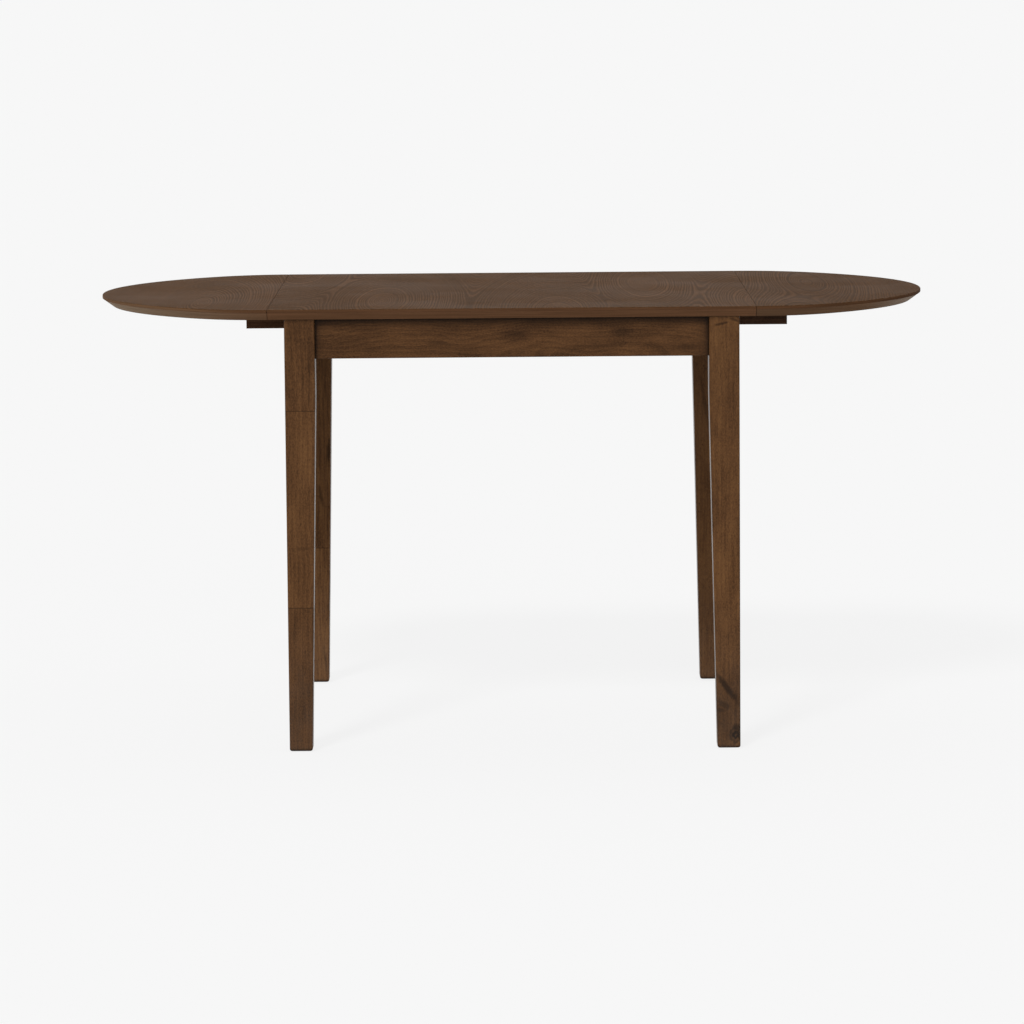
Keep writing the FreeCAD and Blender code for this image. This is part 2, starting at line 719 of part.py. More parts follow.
def build_top_brackets():
    """Angle brackets between the aprons' inner faces and the underside of the centre top."""
    half = angle_width / 2
    upright = box(-half, half, 0, angle_thickness, -angle_leg, 0)
    level = box(-half, half, 0, angle_leg, -angle_thickness, 0)
    angle = upright.fuse(level).removeSplitter()
    reach = angle_leg * angle_screw_share
    up_seat = (Vector(0, reach, -angle_thickness), Vector(0, 0, 1))
    back_seat = (Vector(0, angle_thickness, -reach), Vector(0, -1, 0))
    hole = screw_hole(hinge_screw_length)
    up_hole = aimed(hole, *up_seat)
    back_hole = aimed(hole, *back_seat)
    angle = angle.cut([up_hole, back_hole])
    screw = pan_screw(hinge_screw_length)
    screws = [aimed(screw, *up_seat), aimed(screw, *back_seat)]
    places = []
    for side in sides.values():
        x = side * (leg_inner_x - side_angle_inset_from_leg)
        places.append(("front_apron", 0, Vector(x, -side_apron_inner_y, underside_z)))
        places.append(("back_apron", half_turn_degrees, Vector(x, side_apron_inner_y, underside_z)))
    for row in rows.values():
        y = row * (leg_inner_y - end_angle_inset_from_leg)
        places.append(("left_end_apron", -quarter_turn_degrees, Vector(-end_apron_inner_x, y, underside_z)))
        places.append(("right_end_apron", quarter_turn_degrees, Vector(end_apron_inner_x, y, underside_z)))
    angles = []
    angle_screws = []
    for apron, degrees, point in places:
        angles.append(turned_about_z(angle, degrees, point))
        for one in screws:
            angle_screws.append(turned_about_z(Part.makeCompound([one]), degrees, point).Solids[0])
        bore("centre_top", [turned_about_z(Part.makeCompound([up_hole]), degrees, point)])
        bore(apron, [turned_about_z(Part.makeCompound([back_hole]), degrees, point)])
    nodes["top_brackets"] = Part.makeCompound(angles)
    nodes["top_bracket_screws"] = Part.makeCompound(angle_screws)


def drill_and_write():
    """Cut every noted hole, then write one file for each node."""
    os.makedirs("parts", exist_ok=True)
    for name, cutters in holes.items():
        nodes[name] = nodes[name].cut(cutters)
    for name, shape in nodes.items():
        shape.exportStep(f"parts/{name}.step")
        print(f"{name}: {len(shape.Solids)} solids, {shape.Volume:.0f} mm3, valid {shape.isValid()}")


build_centre_top()
build_leaves()
build_legs()
build_aprons()
build_lopers()
build_channel()
build_hinges()
build_corner_brackets()
build_top_brackets()
drill_and_write()
print(f"{len(nodes)} nodes, nose radius {nose_radius:.2f}, longest travel {longest_travel:.2f}")
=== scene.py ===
"""Dresses a drop-leaf dining table for a plain studio picture.

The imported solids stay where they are. Each gets a stained wood, brass, zinc or nylon finish, and the
plain screws, bolts and nuts are replaced by detailed ones. All lengths are metres, with +Z up and the
front at -Y. Colours are written as display bytes, and angles as radians but for the lamps'.
"""

import json
import logging
import math
from dataclasses import dataclass, replace
from enum import Enum
from typing import ClassVar, Self, Sequence

import bmesh
import bpy
from mathutils import Matrix, Vector

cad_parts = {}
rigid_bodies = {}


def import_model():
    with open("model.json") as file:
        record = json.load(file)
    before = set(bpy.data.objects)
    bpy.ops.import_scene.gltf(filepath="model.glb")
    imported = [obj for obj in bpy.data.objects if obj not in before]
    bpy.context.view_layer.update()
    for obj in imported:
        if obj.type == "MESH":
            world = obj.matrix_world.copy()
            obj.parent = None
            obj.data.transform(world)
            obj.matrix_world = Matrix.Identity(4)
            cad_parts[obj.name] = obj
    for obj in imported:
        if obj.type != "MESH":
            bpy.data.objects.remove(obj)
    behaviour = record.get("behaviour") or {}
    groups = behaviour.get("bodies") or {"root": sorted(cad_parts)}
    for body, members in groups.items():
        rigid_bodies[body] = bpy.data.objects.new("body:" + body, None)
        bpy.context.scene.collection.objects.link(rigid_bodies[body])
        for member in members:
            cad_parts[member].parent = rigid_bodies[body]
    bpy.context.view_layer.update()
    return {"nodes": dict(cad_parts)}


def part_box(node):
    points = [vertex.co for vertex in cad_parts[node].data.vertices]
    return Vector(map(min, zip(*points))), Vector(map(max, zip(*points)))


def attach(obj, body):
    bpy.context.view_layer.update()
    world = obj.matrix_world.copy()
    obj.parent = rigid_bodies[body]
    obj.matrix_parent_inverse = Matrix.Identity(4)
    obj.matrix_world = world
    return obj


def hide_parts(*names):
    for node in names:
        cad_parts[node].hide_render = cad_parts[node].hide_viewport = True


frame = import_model()

log = logging.getLogger("drop_leaf_table")

Colour = tuple[int, int, int]
Light = tuple[float, float, float, float]
Triple = tuple[float, float, float]
Span = tuple[float, float]
Node = bpy.types.Node
Socket = bpy.types.NodeSocket
Feed = Socket | float | Triple | Light
Feeds = dict[str | int, Feed]

FRAME_BODY = "table_frame"
SIDES = ("left", "right")
ROWS = ("front", "back")
WELD = 1e-6
HALF = 0.5
ORIGIN = (0.0, 0.0, 0.0)
FLATTENED = (1.0, 1.0, 0.0)
RISING = (0.0, 1.0)
FALLING = (1.0, 0.0)
# A screw's two ends are compared over a sixth of its length each.
END_PARTS = 6
# The span that most of a noise texture's values lie in.
NOISE_SPAN = (0.3, 0.7)
FULL_BYTE = 255
WHITE = (FULL_BYTE, FULL_BYTE, FULL_BYTE)
BEVEL_SAMPLES = 4
CORNER_SAMPLES = 6


class GrainAxis(Enum):
    """The way that the fibres run, as the order of the coordinates that puts it last."""

    LENGTH = ("Y", "Z", "X")
    DEPTH = ("Z", "X", "Y")
    HEIGHT = ("X", "Y", "Z")


class FastenerKind(Enum):
    """The kinds of fastener on the table."""

    PAN_SCREW = "pan head"
    FLAT_SCREW = "flat head"
    BOLT = "hanger bolt"
    NUT = "hexagon nut"


def linear(colour: Colour) -> Light:
    """Turn a display colour of three bytes into the renderer's linear colour, with an alpha of 1.

    Args:
        colour: Red, green and blue in the sRGB encoding, whose own constants stand below.

    Returns:
        The linear colour.
    """
    shares = [value / FULL_BYTE for value in colour]
    light = [s / 12.92 if s <= 0.04045 else ((s + 0.055) / 1.055) ** 2.4 for s in shares]
    return (*light, 1.0)


@dataclass(frozen=True)
class Ripple:
    """One scale of random variation: how fine it is per metre along each axis, and how broken up."""

    fineness: Triple
    detail: float = 2.0
    roughness: float = 0.5


class Graph:
    """A node tree with short calls that place nodes and join them."""

    def __init__(self, tree: bpy.types.NodeTree) -> None:
        """Keep the tree that the calls work on."""
        self.tree = tree

    @classmethod
    def fresh(cls, owner: bpy.types.Material | bpy.types.World) -> Self:
        """Empty a node tree and start a graph on it.

        Args:
            owner: The material or the world that the tree belongs to.

        Returns:
            The graph.
        """
        owner.use_nodes = True
        owner.node_tree.nodes.clear()
        return cls(owner.node_tree)

    def add(self, kind: str, feeds: Feeds | None = None, **settings: object) -> Node:
        """Place a node.

        Args:
            kind: Blender's name for the node type.
            feeds: What goes into its sockets, by name or number.
            settings: Properties of the node.

        Returns:
            The new node.
        """
        node = self.tree.nodes.new(kind)
        for name, value in settings.items():
            setattr(node, name, value)
        for key, value in (feeds or {}).items():
            self.feed(node.inputs[key], value)
        return node

    def feed(self, socket: Socket, value: Feed) -> None:
        """Link a socket to another, or set its value."""
        if isinstance(value, Socket):
            self.tree.links.new(value, socket)
        else:
            socket.default_value = value

    def math(self, operation: str, first: Feed, second: Feed = 0.0, third: Feed = 0.0) -> Socket:
        """Place a Math node and return its value."""
        return self.add("ShaderNodeMath", {0: first, 1: second, 2: third}, operation=operation).outputs[0]

    def vector(self, operation: str, first: Feed, second: Feed = ORIGIN) -> Socket:
        """Place a Vector Math node.

        Args:
            operation: The node's operation.
            first: Its first vector.
            second: Its second vector.

        Returns:
            The value of a length or a dot product, and otherwise the vector.
        """
        node = self.add("ShaderNodeVectorMath", {0: first, 1: second}, operation=operation)
        return node.outputs["Value" if operation in ("LENGTH", "DOT_PRODUCT") else "Vector"]

    def noise(self, vector: Feed, ripple: Ripple, output: str = "Fac") -> Socket:
        """Place a Noise Texture on a vector.

        Args:
            vector: Where it is read.
            ripple: How fine and how broken up it is.
            output: Which of its outputs is wanted.

        Returns:
            That output.
        """
        feeds = {
            "Vector": self.vector("MULTIPLY", vector, ripple.fineness), "Scale": 1.0,
            "Detail": ripple.detail, "Roughness": ripple.roughness,
        }
        return self.add("ShaderNodeTexNoise", feeds).outputs[output]

    def smooth(self, value: Feed, span: Span, ends: Span = RISING) -> Socket:
        """Ease a value from one end to the other as it crosses a span."""
        feeds = {
            "Value": value, "From Min": span[0], "From Max": span[1], "To Min": ends[0], "To Max": ends[1],
        }
        return self.add("ShaderNodeMapRange", feeds, interpolation_type="SMOOTHSTEP").outputs[0]

    def mix(self, factor: Feed, first: Feed, second: Feed, mode: str = "MIX") -> Socket:
        """Mix two colours and return the result."""
        feeds = {0: factor, 6: first, 7: second}
        return self.add("ShaderNodeMix", feeds, data_type="RGBA", blend_type=mode).outputs[2]

    def shaded(self, colour: Socket, share: Socket) -> Socket:
        """Multiply a colour by a value."""
        return self.mix(1.0, colour, self.join(share, share, share), "MULTIPLY")

    def ramp(self, factor: Feed, places: Sequence[float], colours: Sequence[Colour]) -> Socket:
        """Place a Color Ramp.

        Args:
            factor: The value that it reads.
            places: Where the stops are, from 0 to 1.
            colours: The stops' display colours.

        Returns:
            The colour socket.
        """
        node = self.add("ShaderNodeValToRGB", {0: factor})
        elements = node.color_ramp.elements
        while len(elements) < len(places):
            elements.new(1.0)
        for element, place, colour in zip(elements, places, colours):
            element.position = place
            element.color = linear(colour)
        return node.outputs[0]

    def split(self, vector: Feed) -> dict[str, Socket]:
        """Take a vector apart and return its X, Y and Z by name."""
        outputs = self.add("ShaderNodeSeparateXYZ", {0: vector}).outputs
        return {name: outputs[name] for name in "XYZ"}

    def join(self, x: Feed, y: Feed, z: Feed) -> Socket:
        """Put three values together as a vector."""
        return self.add("ShaderNodeCombineXYZ", {0: x, 1: y, 2: z}).outputs[0]


class ShaderGroup:
    """A shader node group that is built once, for several materials."""

    made: ClassVar[dict[str, bpy.types.NodeTree]] = {}

    def __init__(
            self, name: str, vectors: Sequence[str], values: Sequence[str], outputs: Sequence[str]) -> None:
        """Start an empty group.

        Args:
            name: The group's name.
            vectors: Names of the inputs that are vectors.
            values: Names of the inputs that are values.
            outputs: Names of the values that it puts out.
        """
        self.tree = bpy.data.node_groups.new(name, "ShaderNodeTree")
        for key in vectors:
            self.tree.interface.new_socket(key, in_out="INPUT", socket_type="NodeSocketVector")
        for key in values:
            self.tree.interface.new_socket(key, in_out="INPUT", socket_type="NodeSocketFloat")
        for key in outputs:
            self.tree.interface.new_socket(key, in_out="OUTPUT", socket_type="NodeSocketFloat")
        self.graph = Graph(self.tree)
        self.given = self.graph.add("NodeGroupInput").outputs
        self.result = self.graph.add("NodeGroupOutput").inputs
        ShaderGroup.made[name] = self.tree

    def put(self, **values: Socket) -> None:
        """Link values to the group's outputs by name."""
        for name, value in values.items():
            self.graph.feed(self.result[name], value)


@dataclass(frozen=True)
class GrainEffect:
    """Timber whose fibres run along Z: rings, mottle, streaks, speckle and pores."""

    drift: Ripple = Ripple((9.0, 9.0, 4.5))
    uneven: Ripple = Ripple((0.23, 1.0, 1.0), 1.0)
    uneven_turns: float = 2.5
    late_rise: Span = (0.0, 0.8)
    late_fall: Span = (0.86, 1.0)
    mottle: Ripple = Ripple((34.0, 34.0, 11.0), 3.0, 0.6)
    mottle_span: Span = (0.28, 0.72)
    fibre: Ripple = Ripple((420.0, 420.0, 12.0), 3.0, 0.6)
    fibre_span: Span = (0.25, 0.75)
    speckle: Ripple = Ripple((640.0, 640.0, 330.0), 2.0, 0.6)
    pores: Ripple = Ripple((1100.0, 1100.0, 160.0), 1.0)
    pore_span: Span = (0.63, 0.72)

    def build(self) -> None:
        """Build the group."""
        values = ("Pitch", "Wander", "Seed", "Ring Share", "Mottle Share", "Streak Share", "Speckle Share")
        group = ShaderGroup("Timber grain", ("Vector", "Heart"), values, ("Tone", "Streak", "Pores"))
        graph, given = group.graph, group.given
        seed = graph.join(given["Seed"], given["Seed"], given["Seed"])
        seeded = graph.vector("ADD", given["Vector"], seed)
        drift = graph.vector("SUBTRACT", graph.noise(seeded, self.drift, "Color"), (HALF, HALF, HALF))
        wander = graph.join(given["Wander"], given["Wander"], 0.0)
        bent = graph.vector("ADD", given["Vector"], graph.vector("MULTIPLY", drift, wander))
        across = graph.vector("MULTIPLY", graph.vector("SUBTRACT", bent, given["Heart"]), FLATTENED)
        rings = graph.math("DIVIDE", graph.vector("LENGTH", across), given["Pitch"])
        uneven = graph.noise(graph.join(rings, 0.0, given["Seed"]), self.uneven)
        turn = graph.math("FRACT", graph.math("MULTIPLY_ADD", uneven, self.uneven_turns, rings))
        rise = graph.smooth(turn, self.late_rise)
        late = graph.math("MULTIPLY", rise, graph.smooth(turn, self.late_fall, FALLING))
        fibre = graph.smooth(graph.noise(seeded, self.fibre), self.fibre_span)
        layers = {
            "Ring Share": graph.math("SUBTRACT", 1.0, late),
            "Mottle Share": graph.smooth(graph.noise(seeded, self.mottle), self.mottle_span),
            "Streak Share": fibre,
            "Speckle Share": graph.smooth(graph.noise(seeded, self.speckle), NOISE_SPAN),
        }
        tone: Feed = HALF
        for share, layer in layers.items():
            tone = graph.math("MULTIPLY_ADD", graph.math("SUBTRACT", layer, HALF), given[share], tone)
        pores = graph.smooth(graph.noise(seeded, self.pores), self.pore_span)
        group.put(Tone=tone, Streak=fibre, Pores=pores)


@dataclass(frozen=True)
class CrownEffect:
    """Crown-cut veneer: how far a point is from an eye, and the lines round it."""

    uneven: Ripple = Ripple((0.31, 1.0, 1.0))
    uneven_turns: float = 2.6
    line_rise: Span = (0.0, 0.2)
    line_fall: Span = (0.25, 0.8)
    band: Ripple = Ripple((0.085, 1.0, 1.0))
    band_layer: float = 5.0

    def build(self) -> None:
        """Build the two groups."""
        group = ShaderGroup("Eye distance", ("Vector", "Eye"), ("Stretch",), ("Distance",))
        graph, given = group.graph, group.given
        apart = graph.split(graph.vector("SUBTRACT", given["Vector"], given["Eye"]))
        short = graph.math("DIVIDE", apart["Y"], given["Stretch"])
        group.put(Distance=graph.vector("LENGTH", graph.join(apart["X"], short, 0.0)))

        group = ShaderGroup("Ring lines", (), ("Distance", "Pitch", "Seed"), ("Line", "Band"))
        graph, given = group.graph, group.given
        turns = graph.math("DIVIDE", given["Distance"], given["Pitch"])
        uneven = graph.noise(graph.join(turns, given["Seed"], 0.0), self.uneven)
        share = graph.math("FRACT", graph.math("MULTIPLY_ADD", uneven, self.uneven_turns, turns))
        rise = graph.smooth(share, self.line_rise)
        line = graph.math("MULTIPLY", rise, graph.smooth(share, self.line_fall, FALLING))
        band = graph.noise(graph.join(turns, given["Seed"], self.band_layer), self.band)
        group.put(Line=line, Band=graph.smooth(band, NOISE_SPAN))


@dataclass(frozen=True)
class BlemishEffect:
    """A dark streak, pocket or knot at one place in the timber."""

    fray: Ripple = Ripple((210.0, 210.0, 120.0), 3.0, 0.65)
    fade: Span = (0.25, 1.0)
    knot_rings: float = 2.5
    cosine_span: Span = (-1.0, 1.0)

    def build(self) -> None:
        """Build the group."""
        values = ("Tilt", "Width", "Depth", "Length", "Raggedness")
        group = ShaderGroup("Blemish", ("Vector", "Centre"), values, ("Mask", "Rings"))
        graph, given = group.graph, group.given
        feeds = {"Vector": given["Vector"], "Center": given["Centre"], "Angle": given["Tilt"]}
        turned = graph.add("ShaderNodeVectorRotate", feeds, rotation_type="Y_AXIS").outputs[0]
        reach = graph.join(given["Width"], given["Depth"], given["Length"])
        apart = graph.vector("DIVIDE", graph.vector("SUBTRACT", turned, given["Centre"]), reach)
        rough = graph.math("SUBTRACT", graph.noise(given["Vector"], self.fray), HALF)
        frayed = graph.math("MULTIPLY", rough, given["Raggedness"])
        away = graph.math("ADD", graph.vector("LENGTH", apart), frayed)
        waves = graph.math("COSINE", graph.math("MULTIPLY", away, self.knot_rings * math.tau))
        rings = graph.smooth(waves, self.cosine_span, FALLING)
        group.put(Mask=graph.smooth(away, self.fade, FALLING), Rings=rings)


@dataclass(frozen=True)
class JointEffect:
    """A glued butt joint: what is above it, and its line."""

    line: Span = (0.0003, 0.0010)

    def build(self) -> None:
        """Build the group."""
        group = ShaderGroup("Butt joint", (), ("Height", "Joint"), ("Above", "Line"))
        graph, given = group.graph, group.given
        apart = graph.math("SUBTRACT", given["Height"], given["Joint"])
        line = graph.smooth(graph.math("ABSOLUTE", apart), self.line, FALLING)
        group.put(Above=graph.math("GREATER_THAN", apart, 0.0), Line=line)


@dataclass(frozen=True)
class WearEffect:
    """Rubbed edges, painted shade in corners and under overhangs, and dust low on the legs."""

    edge_flatness: Span = (0.8, 0.995)
    rubbed: Ripple = Ripple((60.0, 60.0, 60.0), 3.0)
    rubbed_span: Span = (0.35, 0.7)
    painted_shade_fray: Ripple = Ripple((120.0, 120.0, 120.0), 3.0, 0.6)
    painted_shade_fray_share: float = 0.1
    painted_shade_openness: Span = (0.55, 0.97)
    dust: Ripple = Ripple((90.0, 90.0, 40.0), 3.0)
    dust_shares: Span = (0.6, 1.0)

    def build(self) -> None:
        """Build the three groups."""
        group = ShaderGroup("Edge wear", ("Rounded", "Surface", "Vector"), ("Amount",), ("Mask",))
        graph, given = group.graph, group.given
        flatness = graph.vector("DOT_PRODUCT", given["Rounded"], given["Surface"])
        edge = graph.smooth(flatness, self.edge_flatness, FALLING)
        patches = graph.smooth(graph.noise(given["Vector"], self.rubbed), self.rubbed_span)
        group.put(Mask=graph.math("MULTIPLY", graph.math("MULTIPLY", edge, patches), given["Amount"]))

        # Painted shade: darker where ambient occlusion finds corners and the underside of the top.
        group = ShaderGroup("Painted corner shade", ("Vector",), ("Openness", "Amount"), ("Mask",))
        graph, given = group.graph, group.given
        rough = graph.math("SUBTRACT", graph.noise(given["Vector"], self.painted_shade_fray), HALF)
        open_share = graph.math("MULTIPLY_ADD", rough, self.painted_shade_fray_share, given["Openness"])
        shut = graph.smooth(open_share, self.painted_shade_openness, FALLING)
        group.put(Mask=graph.math("MULTIPLY", shut, given["Amount"]))

        group = ShaderGroup("Floor dust", ("Vector",), ("Reach", "Amount"), ("Mask",))
        graph, given = group.graph, group.given
        height = graph.math("DIVIDE", graph.split(given["Vector"])["Z"], given["Reach"])
        uneven = graph.smooth(graph.noise(given["Vector"], self.dust), NOISE_SPAN, self.dust_shares)
        patchy = graph.math("MULTIPLY", graph.smooth(height, RISING, FALLING), uneven)
        group.put(Mask=graph.math("MULTIPLY", patchy, given["Amount"]))


@dataclass(frozen=True)
class ScuffEffect:
    """Bare metal: fine drawn lines, dull patches and specks."""

    lines: Ripple = Ripple((2600.0, 160.0, 2600.0), 3.0, 0.7)
    dull: Ripple = Ripple((130.0, 130.0, 130.0), 4.0, 0.6)
    dull_span: Span = (0.42, 0.66)
    specks: Ripple = Ripple((900.0, 900.0, 900.0), 1.0)
    speck_span: Span = (0.68, 0.76)

    def build(self) -> None:
        """Build the group."""
        group = ShaderGroup("Metal scuff", ("Vector",), (), ("Lines", "Dull", "Specks"))
        graph, given = group.graph, group.given
        group.put(
            Lines=graph.smooth(graph.noise(given["Vector"], self.lines), NOISE_SPAN),
            Dull=graph.smooth(graph.noise(given["Vector"], self.dull), self.dull_span),
            Specks=graph.smooth(graph.noise(given["Vector"], self.specks), self.speck_span),
        )


class Surface(Graph):
    """A material's graph: its shader's inputs, and the object coordinates that the effects read."""

    def __init__(self, tree: bpy.types.NodeTree) -> None:
        """Place the shader and the coordinates.

        Args:
            tree: The material's empty node tree.
        """
        super().__init__(tree)
        shader = self.add("ShaderNodeBsdfPrincipled")
        self.add("ShaderNodeOutputMaterial", {"Surface": shader.outputs[0]})
        self.inputs = shader.inputs
        self.coords = self.add("ShaderNodeTexCoord").outputs["Object"]

    def effect(self, name: str, feeds: Feeds) -> bpy.types.NodeOutputs:
        """Place a group that was built before, and return its outputs."""
        return self.add("ShaderNodeGroup", feeds, node_tree=ShaderGroup.made[name]).outputs

    def softened(self, radius: float) -> Socket:
        """Return a normal that is rounded over the edges within a radius."""
        return self.add("ShaderNodeBevel", {"Radius": radius}, samples=BEVEL_SAMPLES).outputs[0]

    def worn(self, rounded: Socket, amount: float) -> Socket:
        """Find where edges are worn.

        Args:
            rounded: The rounded normal.
            amount: How much the edges are rubbed, from 0 to 1.

        Returns:
            The mask of the wear.
        """
        surface = self.add("ShaderNodeNewGeometry").outputs["Normal"]
        feeds = {"Rounded": rounded, "Surface": surface, "Vector": self.coords, "Amount": amount}
        return self.effect("Edge wear", feeds)["Mask"]

    def show(
            self, colour: Socket, roughness: Socket, relief: Socket, bump: Span,
            rounded: Socket | None = None) -> None:
        """Feed the shader what changes over the surface.

        Args:
            colour: The base colour.
            roughness: The roughness.
            relief: How high the fine relief is.
            bump: The strength and the depth of that relief.
            rounded: The normal that it stands on, where that isn't the surface's own.
        """
        feeds = {"Height": relief, "Strength": bump[0], "Distance": bump[1]}
        if rounded is not None:
            feeds["Normal"] = rounded
        self.feed(self.inputs["Base Color"], colour)
        self.feed(self.inputs["Roughness"], roughness)
        self.feed(self.inputs["Normal"], self.add("ShaderNodeBump", feeds).outputs[0])


@dataclass(frozen=True)
class Finish:
    """A surface finish, which becomes one material."""

    name: str

    def material(self) -> bpy.types.Material:
        """Find the finish's material, which the first call builds.

        Returns:
            The material.
        """
        if self.name in bpy.data.materials:
            return bpy.data.materials[self.name]
        material = bpy.data.materials.new(self.name)
        self.lay(Surface.fresh(material))
        return material

    def lay(self, graph: Surface) -> None:
        """Wire the finish, each kind in its own way.

        Args:
            graph: The material's graph.
        """
        raise NotImplementedError


@dataclass(frozen=True)
class Blemish:
    """A dark mark on a piece's front: its X and Z there, how it leans and how far it reaches."""

    place: Span
    tilt: float
    width: float
    length: float
    depth: float = 0.02
    strength: float = 0.7
    ringed: bool = False
    ragged: float = 0.8


@dataclass(frozen=True)
class TimberFinish(Finish):
    """Solid hardwood under a walnut stain and a satin lacquer."""

    axis: GrainAxis = GrainAxis.LENGTH
    heart: Triple = ORIGIN
    seed: float = 0.0
    pitch: float = 0.0045
    wander: float = 0.02
    rings: float = 0.14
    mottle: float = 0.34
    streaks: float = 0.22
    speckle: float = 0.34
    joints: tuple[float, ...] = ()
    shades: tuple[float, ...] = (0.0,)
    length_seed_step: float = 1.37
    joint_share: float = 0.6
    blemishes: tuple[Blemish, ...] = ()
    front: float = 0.0
    knot_shares: Span = (0.45, 1.0)
    tone_stops: Triple = (0.05, 0.5, 0.95)
    dark: Colour = (60, 39, 22)
    middle: Colour = (88, 59, 35)
    light: Colour = (109, 76, 46)
    pore: Colour = (30, 18, 9)
    pore_share: float = 0.55
    rubbed: Colour = (124, 88, 58)
    wear: float = 0.25
    edge_radius: float = 0.002
    # Painted shade: how strongly, and within what distance, corners and undersides of overhangs are
    # darkened.
    painted_corner_shade: float = 0.75
    corner_reach: float = 0.010
    dust: Colour = (142, 138, 132)
    floor_dust: float = 0.0
    dust_reach: float = 0.3
    roughness: float = 0.30
    roughness_swing: Span = (0.08, -0.06)
    specular: float = 0.05
    pore_relief: float = -0.7
    bump: Span = (0.12, 0.0004)

    def lay(self, graph: Surface) -> None:
        """Wire grain, marks, worn edges, painted shade in corners and dust.

        Args:
            graph: The material's graph.
        """
        parts = graph.split(graph.coords)
        seed, shade, lines = self.lengths(graph, parts[self.axis.value[2]])
        feeds = {
            "Vector": graph.join(*(parts[letter] for letter in self.axis.value)), "Heart": self.heart,
            "Pitch": self.pitch, "Wander": self.wander, "Seed": seed,
            "Ring Share": self.rings, "Mottle Share": self.mottle,
            "Streak Share": self.streaks, "Speckle Share": self.speckle,
        }
        grain = graph.effect("Timber grain", feeds)
        tone = graph.math("ADD", grain["Tone"], shade)
        colour = graph.ramp(tone, self.tone_stops, (self.dark, self.middle, self.light))
        pore = linear(self.pore)
        colour = graph.mix(graph.math("MULTIPLY", grain["Pores"], self.pore_share), colour, pore)
        for blemish in self.blemishes:
            colour = graph.mix(self.mark(graph, blemish), colour, pore)
        if self.joints:
            colour = graph.mix(graph.math("MULTIPLY", lines, self.joint_share), colour, pore)
        rounded = graph.softened(self.edge_radius)
        colour = graph.mix(graph.worn(rounded, self.wear), colour, linear(self.rubbed))
        # Painted shade: the pore colour is laid where ambient occlusion finds corners and overhangs.
        feeds = {"Distance": self.corner_reach}
        openness = graph.add("ShaderNodeAmbientOcclusion", feeds, samples=CORNER_SAMPLES).outputs["AO"]
        feeds = {"Openness": openness, "Vector": graph.coords, "Amount": self.painted_corner_shade}
        colour = graph.mix(graph.effect("Painted corner shade", feeds)["Mask"], colour, pore)
        if self.floor_dust:
            feeds = {"Vector": graph.coords, "Reach": self.dust_reach, "Amount": self.floor_dust}
            dusty = graph.effect("Floor dust", feeds)["Mask"]
            colour = graph.mix(dusty, colour, linear(self.dust))
        gloss = graph.smooth(tone, RISING, tuple(self.roughness + swing for swing in self.roughness_swing))
        relief = graph.math("MULTIPLY_ADD", grain["Pores"], self.pore_relief, grain["Streak"])
        graph.show(colour, gloss, relief, self.bump, rounded)
        graph.inputs["Specular IOR Level"].default_value = self.specular

    def lengths(self, graph: Surface, along: Socket) -> tuple[Feed, Feed, Feed]:
        """Give each length of timber between butt joints a seed and a shade of its own.

        Args:
            graph: The material's graph.
            along: The coordinate that the fibres follow.

        Returns:
            The seed, the shade and the mask of the joints' lines.
        """
        seed: Feed = self.seed
        shade: Feed = self.shades[0]
        lines: Feed = 0.0
        for joint, below, above in zip(self.joints, self.shades, self.shades[1:]):
            glued = graph.effect("Butt joint", {"Height": along, "Joint": joint})
            seed = graph.math("MULTIPLY_ADD", glued["Above"], self.length_seed_step, seed)
            shade = graph.math("MULTIPLY_ADD", glued["Above"], above - below, shade)
            lines = graph.math("ADD", lines, glued["Line"])
        return seed, shade, lines

    def mark(self, graph: Surface, blemish: Blemish) -> Socket:
        """Find where one blemish darkens the timber.

        Args:
            graph: The material's graph.
            blemish: The blemish.

        Returns:
            Its mask.
        """
        x, z = blemish.place
        feeds = {
            "Vector": graph.coords, "Centre": (x, self.front, z), "Tilt": blemish.tilt,
            "Width": blemish.width, "Depth": blemish.depth, "Length": blemish.length,
            "Raggedness": blemish.ragged,
        }
        found = graph.effect("Blemish", feeds)
        mask = graph.math("MULTIPLY", found["Mask"], blemish.strength)
        if blemish.ringed:
            mask = graph.math("MULTIPLY", mask, graph.smooth(found["Rings"], RISING, self.knot_shares))
        return mask


BARE_BEECH = TimberFinish(
    "bare beech", heart=(0.0, 0.6, 0.0), seed=12.0, pitch=0.003, wander=0.004,
    dark=(150, 112, 78), middle=(184, 146, 106), light=(206, 172, 132),
    pore=(120, 84, 56), rubbed=(214, 184, 148), roughness=0.62,
)


@dataclass(frozen=True)
class PanelLook:
    """One panel's ring eyes, face tone with painted shade, and lipping colours with painted light."""

    node: str
    eyes: tuple[Span, ...]
    face_tone_and_painted_shade: float
    band: Colour
    bevel: Colour
    seam_bevel: Colour
    bevel_reach: Span = (0.41, 0.58)


